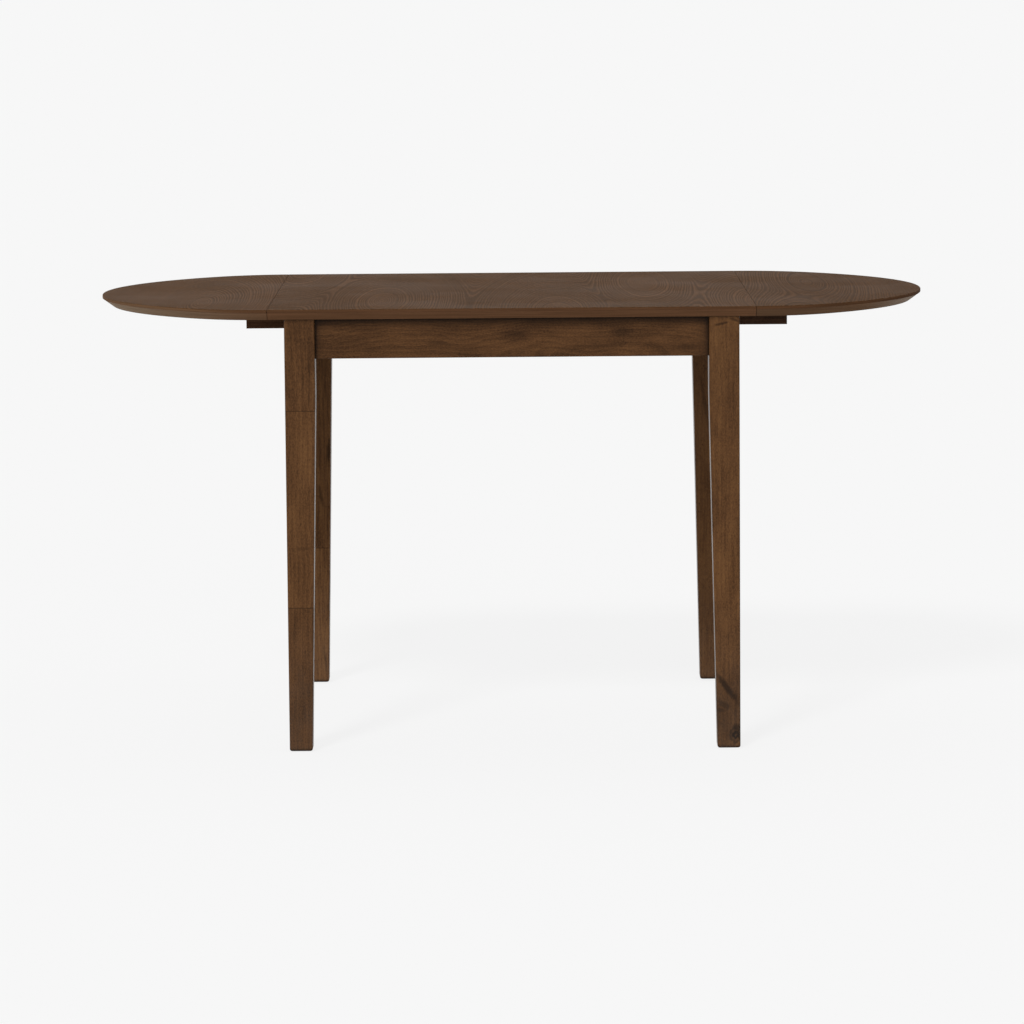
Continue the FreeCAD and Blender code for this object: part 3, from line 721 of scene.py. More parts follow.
@dataclass(frozen=True)
class VeneerFinish(Finish):
    """Crown-cut veneer on a panel's face, a stained lipping with painted light round its edge and a plain
    sheet below.
    """

    look: PanelLook
    seed: float
    face_height: float
    under_height: float
    face_blend: Span = (0.0009, 0.0003)
    under_blend: Span = (0.0002, 0.0008)
    pitch: float = 0.0044
    stretch: float = 7.0
    eye_blend: float = 0.05
    eye_reach: float = 0.06
    eye_boost: float = 0.35
    seed_slant: float = 0.7
    slow: Ripple = Ripple((7.0, 1.3, 1.0))
    slow_warp: float = 0.018
    quick: Ripple = Ripple((38.0, 7.0, 1.0), 3.0, 0.6)
    quick_warp: float = 0.005
    fading: Ripple = Ripple((14.0, 3.0, 1.0))
    line_strengths: Span = (0.5, 0.9)
    fibre: Ripple = Ripple((900.0, 16.0, 1.0), 3.0, 0.6)
    fibre_span: Span = (0.25, 0.75)
    fibre_shades: Span = (0.84, 1.14)
    ground: Colour = (78, 54, 33)
    deep: Colour = (72, 50, 30)
    line: Colour = (99, 70, 46)
    pores: Ripple = Ripple((1300.0, 70.0, 1300.0), 1.0)
    pore_span: Span = (0.62, 0.72)
    pore_share: float = 0.5
    pore: Colour = (44, 33, 26)
    seam_band: Colour = (82, 56, 38)
    band_reach: Span = (0.41, 0.58)
    band_depth: float = 0.005
    crease_blend: float = 0.0004
    lipping_streaks: Ripple = Ripple((9.0, 9.0, 900.0), 3.0, 0.6)
    lipping_shades: Span = (0.82, 1.18)
    backing_fibre: Ripple = Ripple((700.0, 14.0, 1.0), 3.0, 0.6)
    backing_dark: Colour = (66, 48, 35)
    backing_light: Colour = (88, 66, 48)
    rubbed: Colour = (118, 84, 56)
    wear: float = 0.15
    edge_radius: float = 0.0015
    smear: Ripple = Ripple((5.0, 5.0, 5.0), 4.0, 0.6)
    roughness: Span = (0.46, 0.56)
    specular: float = 0.004
    pore_relief: float = -0.8
    line_relief: float = 0.35
    bump: Span = (0.15, 0.0003)

    def lay(self, graph: Surface) -> None:
        """Wire the face, the lipping and the sheet below, each where its height puts it.

        Args:
            graph: The material's graph.
        """
        height = graph.split(graph.coords)["Z"]
        on_face = graph.smooth(height, tuple(self.face_height - gap for gap in self.face_blend))
        below = graph.smooth(height, tuple(self.under_height + gap for gap in self.under_blend), FALLING)
        face, line = self.crown(graph)
        colour = graph.mix(on_face, self.lipping(graph), face)
        fibre = graph.noise(graph.coords, self.backing_fibre)
        backing = graph.ramp(fibre, NOISE_SPAN, (self.backing_dark, self.backing_light))
        colour = graph.mix(below, colour, backing)
        dots = graph.smooth(graph.noise(graph.coords, self.pores), self.pore_span)
        pores = graph.math("MULTIPLY", dots, on_face)
        colour = graph.mix(graph.math("MULTIPLY", pores, self.pore_share), colour, linear(self.pore))
        rounded = graph.softened(self.edge_radius)
        colour = graph.mix(graph.worn(rounded, self.wear), colour, linear(self.rubbed))
        gloss = graph.smooth(graph.noise(graph.coords, self.smear), NOISE_SPAN, self.roughness)
        raised = graph.math("MULTIPLY", line, self.line_relief)
        relief = graph.math("MULTIPLY_ADD", pores, self.pore_relief, raised)
        graph.show(colour, gloss, relief, self.bump, rounded)
        graph.inputs["Specular IOR Level"].default_value = self.specular

    def lipping(self, graph: Surface) -> Socket:
        """Colour the band and the bevel below it, with painted light that changes from the seams to the
        tips.

        Args:
            graph: The material's graph.

        Returns:
            The lipping's colour.
        """
        look = self.look
        parts = graph.split(graph.coords)
        crease = self.face_height - self.band_depth
        upright = graph.smooth(parts["Z"], (crease - self.crease_blend, crease + self.crease_blend))
        out = graph.math("ABSOLUTE", parts["X"])
        # Painted light: the bevel is lighter than the band as bounce light, paler to the tips as
        # reflection.
        bevel = graph.mix(graph.smooth(out, look.bevel_reach), linear(look.seam_bevel), linear(look.bevel))
        # Painted light: to the tips the left band is lighter as a highlight, the right band darker as
        # shade.
        band = graph.mix(graph.smooth(out, self.band_reach), linear(self.seam_band), linear(look.band))
        streaks = graph.noise(graph.coords, self.lipping_streaks)
        shade = graph.smooth(streaks, NOISE_SPAN, self.lipping_shades)
        return graph.shaded(graph.mix(upright, bevel, band), shade)

    def crown(self, graph: Surface) -> tuple[Socket, Socket]:
        """Draw the veneer's rings round its eyes.

        Args:
            graph: The material's graph.

        Returns:
            The face's colour and the mask of its lines.
        """
        moved = graph.vector("ADD", graph.coords, (self.seed, self.seed * self.seed_slant, 0.0))
        found = []
        for x, y in self.look.eyes:
            feeds = {"Vector": graph.coords, "Eye": (x, y, 0.0), "Stretch": self.stretch}
            found.append(graph.effect("Eye distance", feeds)["Distance"])
        distance = found[0]
        for other in found[1:]:
            distance = graph.math("SMOOTH_MIN", distance, other, self.eye_blend)
        near = graph.smooth(distance, (0.0, self.eye_reach), (self.eye_boost, 0.0))
        distance = graph.math("MULTIPLY_ADD", graph.noise(moved, self.slow), self.slow_warp, distance)
        distance = graph.math("MULTIPLY_ADD", graph.noise(moved, self.quick), self.quick_warp, distance)
        feeds = {"Distance": distance, "Pitch": self.pitch, "Seed": self.seed}
        rings = graph.effect("Ring lines", feeds)
        ground = graph.mix(rings["Band"], linear(self.deep), linear(self.ground))
        faint = graph.smooth(graph.noise(moved, self.fading), NOISE_SPAN, self.line_strengths)
        strength = graph.math("MULTIPLY", rings["Line"], graph.math("ADD", faint, near))
        face = graph.mix(strength, ground, linear(self.line))
        # Painted shade: each panel's face tone darkens its face, the more to the right.
        shades = tuple(shade * self.look.face_tone_and_painted_shade for shade in self.fibre_shades)
        shade = graph.smooth(graph.noise(moved, self.fibre), self.fibre_span, shades)
        return graph.shaded(face, shade), rings["Line"]


@dataclass(frozen=True)
class MetalFinish(Finish):
    """Plated or solid metal with drawn lines, dull patches and specks."""

    bright: Colour
    dull: Colour
    speck: Colour
    speck_share: float = 0.6
    roughness: float = 0.34
    roughness_swing: float = 0.06
    dull_roughness: float = 0.2
    edge_radius: float = 0.0004
    bump: Span = (0.08, 0.0001)

    def lay(self, graph: Surface) -> None:
        """Wire the metal.

        Args:
            graph: The material's graph.
        """
        scuff = graph.effect("Metal scuff", {"Vector": graph.coords})
        colour = graph.mix(scuff["Dull"], linear(self.bright), linear(self.dull))
        specks = graph.math("MULTIPLY", scuff["Specks"], self.speck_share)
        colour = graph.mix(specks, colour, linear(self.speck))
        ends = (self.roughness - self.roughness_swing, self.roughness + self.roughness_swing)
        drawn = graph.smooth(scuff["Lines"], RISING, ends)
        gloss = graph.math("MULTIPLY_ADD", scuff["Dull"], self.dull_roughness, drawn)
        rounded = graph.softened(self.edge_radius)
        graph.show(colour, gloss, scuff["Lines"], self.bump, rounded)
        graph.inputs["Metallic"].default_value = 1.0


@dataclass(frozen=True)
class NylonFinish(Finish):
    """Dull moulded nylon, rubbed paler where it slides."""

    body: Colour = (52, 47, 42)
    scraped: Colour = (98, 92, 84)
    rubbed_height: Span = (0.0002, 0.0009)
    skin: Ripple = Ripple((1800.0, 1800.0, 1800.0))
    scrape: Ripple = Ripple((90.0, 700.0, 300.0), 3.0)
    scrape_span: Span = (0.4, 0.65)
    roughness: Span = (0.48, 0.62)
    bump: Span = (0.1, 0.0002)

    def lay(self, graph: Surface) -> None:
        """Wire the nylon.

        Args:
            graph: The material's graph.
        """
        skin = graph.noise(graph.coords, self.skin)
        low = graph.smooth(graph.split(graph.coords)["Z"], self.rubbed_height, FALLING)
        scrape = graph.smooth(graph.noise(graph.coords, self.scrape), self.scrape_span)
        rubbed = graph.math("MULTIPLY", low, scrape)
        colour = graph.mix(rubbed, linear(self.body), linear(self.scraped))
        gloss = graph.smooth(skin, NOISE_SPAN, self.roughness)
        graph.show(colour, gloss, skin, self.bump)


def paint(node: str, finish: Finish) -> None:
    """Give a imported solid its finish.

    Args:
        node: The solid's name.
        finish: The finish.
    """
    materials = frame["nodes"][node].data.materials
    materials.clear()
    materials.append(finish.material())
    log.info("%s: %s", node, finish.name)


@dataclass
class TopPanels:
    """The centre top and the two drop leaves."""

    panels: tuple[PanelLook, ...] = (
        # Bevels and the leaves' tips carry painted light and reflection.
        PanelLook(
            "centre_top",
            eyes=((-0.217, -0.226), (0.229, 0.130), (0.075, -0.46), (-0.375, 0.46), (0.41, -0.30)),
            face_tone_and_painted_shade=0.93,
            band=(82, 56, 38),
            bevel=(116, 83, 59),
            seam_bevel=(116, 83, 59),
        ),
        PanelLook(
            "left_leaf",
            eyes=((-0.515, -0.235),),
            face_tone_and_painted_shade=0.975,
            band=(103, 77, 56),
            bevel=(150, 127, 104),
            seam_bevel=(117, 87, 64),
            bevel_reach=(0.37, 0.72),
        ),
        PanelLook(
            "right_leaf",
            eyes=((0.513, 0.110), (0.470, -0.55)),
            face_tone_and_painted_shade=0.87,
            band=(76, 52, 35),
            bevel=(149, 133, 119),
            seam_bevel=(106, 80, 59),
            bevel_reach=(0.57, 0.72),
        ),
    )
    first_seed: float = 1.3
    seed_step: float = 2.9

    def dress(self) -> None:
        """Veneer the three panels."""
        for number, look in enumerate(self.panels):
            low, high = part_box(look.node)
            seed = self.first_seed + number * self.seed_step
            paint(look.node, VeneerFinish(f"{look.node} veneer", look, seed, high.z, low.z))


@dataclass(frozen=True)
class LegTimber:
    """One leg's lengths of timber: joints and shades from the foot up, marks and how uneven it is."""

    node: str
    joints: tuple[float, ...] = ()
    shades: tuple[float, ...] = TimberFinish.shades
    marks: tuple[Blemish, ...] = ()
    mottle: float = TimberFinish.mottle
    streaks: float = TimberFinish.streaks


@dataclass
class LegSet:
    """Four tapered legs, two of them glued up from lengths of timber, with their glides."""

    legs: tuple[LegTimber, ...] = (
        LegTimber(
            "front_left_leg",
            joints=(0.2405, 0.5665),
            shades=(-0.13, 0.05, -0.09),
            marks=(
                Blemish((-0.333, 0.640), 0.05, width=0.0022, length=0.030, strength=0.55),
                Blemish((-0.334, 0.590), -0.04, width=0.0018, length=0.020, strength=0.5),
                Blemish((-0.350, 0.339), math.pi / 2, width=0.0035, length=0.016, strength=0.3),
            ),
        ),
        LegTimber(
            "front_right_leg",
            shades=(0.07,),
            marks=(
                Blemish((0.3655, 0.0225), 0.0, width=0.0180, length=0.0200, strength=1.0, ringed=True),
                Blemish((0.3660, 0.0360), 0.3, width=0.0095, length=0.0085, strength=0.7),
                Blemish((0.3710, 0.0270), 0.0, width=0.0060, length=0.0220, strength=0.5),
                Blemish((0.3500, 0.1030), 0.64, width=0.0074, length=0.0500, strength=0.78),
                Blemish((0.3450, 0.0745), 1.04, width=0.0070, length=0.0220, strength=0.5, ragged=1.2),
                Blemish((0.3420, 0.0640), 1.57, width=0.0045, length=0.0120, strength=0.4),
                Blemish((0.352, 0.060), 0.0, width=0.0400, length=0.110, depth=0.06, strength=0.34),
                Blemish((0.348, 0.640), 0.0, width=0.0450, length=0.120, depth=0.06, strength=0.12),
                Blemish((0.343, 0.705), 1.80, width=0.0030, length=0.018, strength=0.65),
                Blemish((0.365, 0.711), 1.25, width=0.0028, length=0.012, strength=0.6),
            ),
            mottle=0.44,
        ),
        LegTimber(
            "back_left_leg",
            joints=(0.246,),
            # Partly painted light: raised shades lift this back leg out of the top's shade.
            shades=(0.18, 0.14),
            marks=(
                Blemish((-0.342, 0.045), 0.1, width=0.0050, length=0.050, strength=0.6),
                Blemish((-0.333, 0.150), -0.1, width=0.0040, length=0.060, strength=0.5),
                Blemish((-0.331, 0.420), -0.1, width=0.0060, length=0.035, strength=0.6),
                Blemish((-0.345, 0.340), 0.2, width=0.0050, length=0.030, strength=0.5),
            ),
            streaks=0.58,
        ),
        LegTimber(
            "back_right_leg",
            # Partly painted light: a raised shade lifts this back leg out of the top's shade.
            shades=(0.12,),
            marks=(Blemish((0.345, 0.500), 0.15, width=0.0050, length=0.070, strength=0.35),),
        ),
    )
    heart_offset: Triple = (0.060, 0.045, 0.0)
    floor_dust: float = 0.05
    first_seed: float = 0.61
    seed_step: float = 2.17

    def dress(self) -> None:
        """Stain the legs and finish the glides."""
        for number, leg in enumerate(self.legs):
            low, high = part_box(leg.node)
            finish = TimberFinish(
                f"{leg.node} timber", GrainAxis.HEIGHT, tuple((low + high) / 2 + Vector(self.heart_offset)),
                self.first_seed + number * self.seed_step, joints=leg.joints, shades=leg.shades,
                blemishes=leg.marks, front=low.y, mottle=leg.mottle, streaks=leg.streaks,
                floor_dust=self.floor_dust,
            )
            paint(leg.node, finish)
        paint("foot_glides", NylonFinish("glide nylon"))


@dataclass
class ApronFrame:
    """The four aprons and the dowels that join them to the legs."""

    stain: TimberFinish = TimberFinish(
        # Shade -0.18: partly the timber's own tone, partly painted shade of its recess under the top.
        "apron timber", wander=0.05, rings=0.15, streaks=0.19, shades=(-0.18,),
        # Painted shade: a strong corner shade paints the shadow under the top's overhang onto the apron.
        corner_reach=0.022, painted_corner_shade=1.0,
    )
    front_marks: tuple[Blemish, ...] = (
        Blemish((0.007, 0.690), 0.0, width=0.030, length=0.009, strength=0.45),
        Blemish((0.180, 0.692), 0.1, width=0.026, length=0.010, strength=0.5),
        Blemish((-0.120, 0.676), -0.1, width=0.034, length=0.006, strength=0.35),
        Blemish((0.290, 0.668), 0.1, width=0.030, length=0.008, strength=0.35),
    )
    side_heart: Span = (0.03, -0.01)
    end_heart: Span = (-0.02, 0.02)
    side_seeds: Span = (4.4, 7.7)
    end_seeds: Span = (7.9, 9.8)

    def dress(self) -> None:
        """Stain the aprons along their length and leave the dowels bare."""
        for row, seed in zip(ROWS, self.side_seeds):
            node = f"{row}_apron"
            low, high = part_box(node)
            heart = ((low.y + high.y) / 2 + self.side_heart[0], low.z + self.side_heart[1], 0.0)
            stain = replace(self.stain, name=f"{node} timber", heart=heart, seed=seed)
            marks = self.front_marks if row == "front" else ()
            paint(node, replace(stain, blemishes=marks, front=low.y))
        for side, seed in zip(SIDES, self.end_seeds):
            node = f"{side}_end_apron"
            low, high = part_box(node)
            heart = (low.z + self.end_heart[0], (low.x + high.x) / 2 + self.end_heart[1], 0.0)
            stain = replace(self.stain, name=f"{node} timber", heart=heart, seed=seed)
            paint(node, replace(stain, axis=GrainAxis.DEPTH))
        paint("apron_dowels", BARE_BEECH)


@dataclass
class LoperChannel:
    """The sliding lopers with their pegs, and the rails, bridges and block that guide and stop them."""

    stain: TimberFinish = TimberFinish(
        # A light painted corner shade.
        "bar timber", roughness=0.58, specular=0.08, wear=0.5, painted_corner_shade=0.3,
    )
    # Painted light: the left loper's tones are lighter to make up for the deeper shade it gets; both are
    # one wood.
    left_tones: tuple[Colour, Colour, Colour] = ((54, 35, 23), (86, 57, 37), (108, 75, 50))
    right_tones: tuple[Colour, Colour, Colour] = ((44, 29, 20), (70, 47, 32), (90, 63, 43))
    channel_tones: tuple[Colour, Colour, Colour] = ((48, 32, 22), (74, 50, 34), (94, 66, 45))
    heart_offset: Span = (-0.02, -0.03)
    loper_seeds: Span = (15.0, 16.0)
    channel_seed: float = 19.0

    def dress(self) -> None:
        """Stain the lopers and their channel, and leave the pegs bare."""
        for side, seed, tones in zip(SIDES, self.loper_seeds, (self.left_tones, self.right_tones)):
            node = f"{side}_loper"
            paint(node, self.timber(node, seed, tones))
            paint(f"{side}_stop_peg", BARE_BEECH)
        rails = [f"{row}_guide_rail" for row in ROWS]
        channel = self.timber(rails[0], self.channel_seed, self.channel_tones)
        for node in (*rails, *(f"{side}_keeper_bridge" for side in SIDES), "stop_block"):
            paint(node, channel)

    def timber(self, node: str, seed: float, tones: tuple[Colour, Colour, Colour]) -> TimberFinish:
        """Make a finish for a bar that lies along the table.

        Args:
            node: The bar, whose lowest corner the rings are centred near.
            seed: What sets this bar's grain apart.
            tones: Its dark, middle and light colours.

        Returns:
            The finish.
        """
        low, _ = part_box(node)
        heart = (low.y + self.heart_offset[0], low.z + self.heart_offset[1], 0.0)
        dark, middle, light = tones
        toned = replace(self.stain, dark=dark, middle=middle, light=light)
        return replace(toned, name=f"{node} timber", heart=heart, seed=seed)


BRASS = MetalFinish("hinge brass", bright=(194, 162, 104), dull=(170, 139, 87), speck=(92, 72, 46))
ZINC = MetalFinish("zinc plate", bright=(190, 192, 194), dull=(146, 149, 152), speck=(96, 92, 84))


@dataclass
class Hardware:
    """The hinges, corner brackets, washers and angle brackets."""

    hinge_pieces: tuple[str, ...] = ("frame_plate", "leaf_plate", "pin")
    plated_groups: tuple[str, ...] = ("bolt_washers", "top_brackets")

    def dress(self) -> None:
        """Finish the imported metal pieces."""
        for side in SIDES:
            for row in ROWS:
                for piece in self.hinge_pieces:
                    paint(f"{side}_{row}_hinge_{piece}", BRASS)
                paint(f"{row}_{side}_corner_bracket", ZINC)
        for node in self.plated_groups:
            paint(node, ZINC)


@dataclass(frozen=True)
class Seat:
    """Where a fastener sits: its outer end, the way that it points and how long it is."""

    place: Vector
    aim: Vector
    length: float


def solids_of(node: str) -> list[list[Vector]]:
    """Take a packed group of solids apart.

    Args:
        node: The group's name.

    Returns:
        The points of each solid.
    """
    shape = bmesh.new()
    shape.from_mesh(frame["nodes"][node].data)
    bmesh.ops.remove_doubles(shape, verts=shape.verts, dist=WELD)
    waiting = set(shape.verts)
    solids = []
    while waiting:
        stack = [min(waiting, key=lambda vert: vert.index)]
        waiting.discard(stack[0])
        points = []
        while stack:
            vert = stack.pop()
            points.append(vert.co.copy())
            for edge in vert.link_edges:
                other = edge.other_vert(vert)
                if other in waiting:
                    waiting.discard(other)
                    stack.append(other)
        solids.append(points)
    shape.free()
    return solids


def screw_seats(node: str) -> list[Seat]:
    """Find where the screws of a packed group sit.

    Args:
        node: The group's name.

    Returns:
        A seat for each screw, whose outer end is its wide one.
    """
    seats = []
    for points in solids_of(node):
        low = Vector([min(p[i] for p in points) for i in range(3)])
        high = Vector([max(p[i] for p in points) for i in range(3)])
        run = max(range(3), key=lambda i: high[i] - low[i])
        length = high[run] - low[run]
        middle = (low + high) / 2
        widths = []
        for end in (low[run], high[run]):
            near = [p for p in points if abs(p[run] - end) < length / END_PARTS]
            widths.append(max(max(abs(p[i] - middle[i]) for i in range(3) if i != run) for p in near))
        head_is_low = widths[0] > widths[1]
        place = middle.copy()
        place[run] = low[run] if head_is_low else high[run]
        aim = Vector()
        aim[run] = 1.0 if head_is_low else -1.0
        seats.append(Seat(place, aim, length))
    return seats


def corner_seats(node: str) -> list[Seat]:
    """Find where the bolts or nuts of a packed group sit, which all point out through their own corner.

    Args:
        node: The group's name.

    Returns:
        A seat for each solid, whose outer end is the one nearest the middle of the table.
    """
    seats = []
    for points in solids_of(node):
        middle = sum(points, Vector()) / len(points)
        aim = Vector((math.copysign(1.0, middle.x), math.copysign(1.0, middle.y), 0.0)).normalized()
        runs = [(p - middle).dot(aim) for p in points]
        seats.append(Seat(middle + aim * min(runs), aim, max(runs) - min(runs)))
    return seats


def lathe(name: str, outline: Sequence[Span], steps: int) -> bpy.types.Object:
    """Turn an outline about Z.

    Args:
        name: The object's name.
        outline: Radius and height of each point, from the axis and back to it or round to its start.
        steps: How many times the outline is repeated round the axis.

    Returns:
        A closed solid that isn't linked to the scene.
    """
    shape = bmesh.new()
    rings = []
    for radius, height in outline:
        turns = [math.tau * i / steps for i in range(steps)] if radius else [0.0]
        rings.append([shape.verts.new((radius * math.cos(t), radius * math.sin(t), height)) for t in turns])
    for lower, upper in zip(rings, rings[1:]):
        for i in range(steps):
            corners = [lower[i % len(lower)], lower[(i + 1) % len(lower)]]
            corners += [upper[(i + 1) % len(upper)], upper[i % len(upper)]]
            shape.faces.new(list(dict.fromkeys(corners)))
    bmesh.ops.remove_doubles(shape, verts=shape.verts, dist=WELD)
    bmesh.ops.recalc_face_normals(shape, faces=shape.faces)
    return solid(name, shape)


def bar(name: str, size: Triple) -> bpy.types.Object:
    """Make a bar that is centred on the origin, for cutting.

    Args:
        name: The object's name.
        size: Its lengths along X, Y and Z.

    Returns:
        A closed solid that isn't linked to the scene.
    """
    shape = bmesh.new()
    bmesh.ops.create_cube(shape, size=1.0, matrix=Matrix.Diagonal((*size, 1.0)))
    return solid(name, shape)


def solid(name: str, shape: bmesh.types.BMesh) -> bpy.types.Object:
    """Turn a finished shape into an object.

    Args:
        name: The object's name.
        shape: The shape, which is freed.

    Returns:
        An object that isn't linked to the scene.
    """
    mesh = bpy.data.meshes.new(name)
    shape.to_mesh(mesh)
    shape.free()
    return bpy.data.objects.new(name, mesh)


def settle(piece: bpy.types.Object) -> None:
    """Turn what an object's modifiers make into its own plain mesh, and remove them.

    Args:
        piece: The object.
    """
    whole = bpy.data.meshes.new_from_object(piece.evaluated_get(bpy.context.evaluated_depsgraph_get()))
    piece.modifiers.clear()
    piece.data = whole


def cut(blank: bpy.types.Object, cutters: Sequence[bpy.types.Object]) -> bpy.types.Object:
    """Cut solids out of a blank.

    Args:
        blank: What is cut.
        cutters: What is taken away; these are deleted.

    Returns:
        The blank with its new mesh.
    """
    linked = bpy.context.scene.collection.objects
    for part in (blank, *cutters):
        linked.link(part)
    for cutter in cutters:
        modifier = blank.modifiers.new(cutter.name, "BOOLEAN")
        modifier.operation = "DIFFERENCE"
        modifier.solver = "EXACT"
        modifier.object = cutter
    settle(blank)
    linked.unlink(blank)
    for cutter in cutters:
        bpy.data.objects.remove(cutter)
    return blank


class FastenerTree:
    """The geometry nodes that turn seats into heads or nuts, and threaded shanks."""

    sockets: ClassVar[dict[str, str]] = {
        "Seats": "Geometry", "Head": "Object", "Finish": "Material", "Threaded": "Bool",
        "Shank Start": "Float", "Shank Length": "Float", "Crest Radius": "Float", "Root Radius": "Float",
        "Thread Pitch": "Float", "Point Length": "Float", "Rows": "Int", "Sides": "Int", "Seed": "Int",
    }

    def __init__(self) -> None:
        """Build the tree once."""
        self.tree = bpy.data.node_groups.new("Threaded fasteners", "GeometryNodeTree")
        self.keys = {}
        for name, kind in self.sockets.items():
            socket = self.tree.interface.new_socket(name, in_out="INPUT", socket_type=f"NodeSocket{kind}")
            self.keys[name] = socket.identifier
        self.tree.interface.new_socket("Set", in_out="OUTPUT", socket_type="NodeSocketGeometry")
        self.graph = Graph(self.tree)
        self.given = self.graph.add("NodeGroupInput").outputs
        self.join_up()

    def shank(self) -> Socket:
        """Roll a grid into a shank whose surface rises and falls along a helix.

        Returns:
            The shank's mesh.
        """
        graph, given = self.graph, self.given
        feeds = {"Size X": 1.0, "Size Y": 1.0, "Vertices X": given["Sides"], "Vertices Y": given["Rows"]}
        grid = graph.add("GeometryNodeMeshGrid", feeds).outputs["Mesh"]
        flat = graph.split(graph.add("GeometryNodeInputPosition").outputs[0])
        around = graph.math("ADD", flat["X"], HALF)
        height = graph.math("MULTIPLY", graph.math("ADD", flat["Y"], HALF), given["Shank Length"])
        phase = graph.math("SUBTRACT", graph.math("DIVIDE", height, given["Thread Pitch"]), around)
        ridge = graph.math("DIVIDE", graph.math("PINGPONG", phase, HALF), HALF)
        rise = graph.math("SUBTRACT", given["Crest Radius"], given["Root Radius"])
        radius = graph.math("MULTIPLY_ADD", ridge, rise, given["Root Radius"])
        left = graph.math("SUBTRACT", given["Shank Length"], height)
        taper = graph.math("MINIMUM", graph.math("DIVIDE", left, given["Point Length"]), 1.0)
        closed = graph.math("GREATER_THAN", height, WELD)
        radius = graph.math("MULTIPLY", graph.math("MULTIPLY", radius, taper), closed)
        turn = graph.math("MULTIPLY", around, math.tau)
        x = graph.math("MULTIPLY", radius, graph.math("COSINE", turn))
        y = graph.math("MULTIPLY", radius, graph.math("SINE", turn))
        place = graph.join(x, y, graph.math("ADD", height, given["Shank Start"]))
        rolled = graph.add("GeometryNodeSetPosition", {"Geometry": grid, "Position": place}).outputs[0]
        return graph.add("GeometryNodeMergeByDistance", {"Geometry": rolled, "Distance": WELD}).outputs[0]

    def spin(self) -> Socket:
        """Turn each fastener to its seat's aim, and at random about it.

        Returns:
            The rotation.
        """
        graph = self.graph
        named = graph.add("GeometryNodeInputNamedAttribute", {"Name": "aim"}, data_type="FLOAT_VECTOR")
        feeds = {"Vector": named.outputs["Attribute"]}
        aligned = graph.add("FunctionNodeAlignRotationToVector", feeds, axis="Z").outputs[0]
        feeds = {2: 0.0, 3: math.tau, "Seed": self.given["Seed"]}
        chance = graph.add("FunctionNodeRandomValue", feeds, data_type="FLOAT").outputs[1]
        about = graph.add("FunctionNodeEulerToRotation", {0: graph.join(0.0, 0.0, chance)}).outputs[0]
        feeds = {0: aligned, 1: about}
        return graph.add("FunctionNodeRotateRotation", feeds, rotation_space="LOCAL").outputs[0]

    def join_up(self) -> None:
        """Put a head or a nut on each seat, with a shank where one is wanted."""
        graph, given = self.graph, self.given
        head = graph.add("GeometryNodeObjectInfo", {"Object": given["Head"]}).outputs["Geometry"]
        feeds = {"Switch": given["Threaded"], "True": self.shank()}
        shank = graph.add("GeometryNodeSwitch", feeds, input_type="GEOMETRY").outputs[0]
        whole = graph.add("GeometryNodeJoinGeometry")
        for part in (shank, head):
            graph.feed(whole.inputs[0], part)
        feeds = {"Points": given["Seats"], "Instance": whole.outputs[0], "Rotation": self.spin()}
        placed = graph.add("GeometryNodeInstanceOnPoints", feeds).outputs[0]
        real = graph.add("GeometryNodeRealizeInstances", {0: placed}).outputs[0]
        feeds = {"Geometry": real, "Material": given["Finish"]}
        graph.add("NodeGroupOutput", {0: graph.add("GeometryNodeSetMaterial", feeds).outputs[0]})

    def grow(self, name: str, seats: Sequence[Seat], values: dict[str, object]) -> bpy.types.Object:
        """Make one mesh of all the fasteners on some seats.

        Args:
            name: The new piece's name.
            seats: Where they sit.
            values: The tree's other inputs by name.

        Returns:
            The finished piece, with no modifier left on it.
        """
        mesh = bpy.data.meshes.new(f"{name} seats")
        mesh.from_pydata([seat.place for seat in seats], [], [])
        aims = mesh.attributes.new("aim", "FLOAT_VECTOR", "POINT")
        for value, seat in zip(aims.data, seats):
            value.vector = seat.aim
        piece = bpy.data.objects.new(name, mesh)
        modifier = piece.modifiers.new("fasteners", "NODES")
        modifier.node_group = self.tree
        for key, value in values.items():
            modifier[self.keys[key]] = value
        bpy.context.scene.collection.objects.link(piece)
        settle(piece)
        return piece


@dataclass(frozen=True)
class FastenerGroup:
    """One packed group of fasteners, with its kind, its body and its slot in the record."""

    node: str
    kind: FastenerKind
    body: str = FRAME_BODY
    slot: str = "zinc_steel"

    @property
    def new_name(self) -> str:
        """The name of the piece that stands for the group."""
        return f"{self.node}_{'shaped' if self.kind is FastenerKind.NUT else 'threaded'}"

    @property
    def seats(self) -> list[Seat]:
        """Where its fasteners sit."""
        cornered = self.kind in (FastenerKind.BOLT, FastenerKind.NUT)
        return corner_seats(self.node) if cornered else screw_seats(self.node)


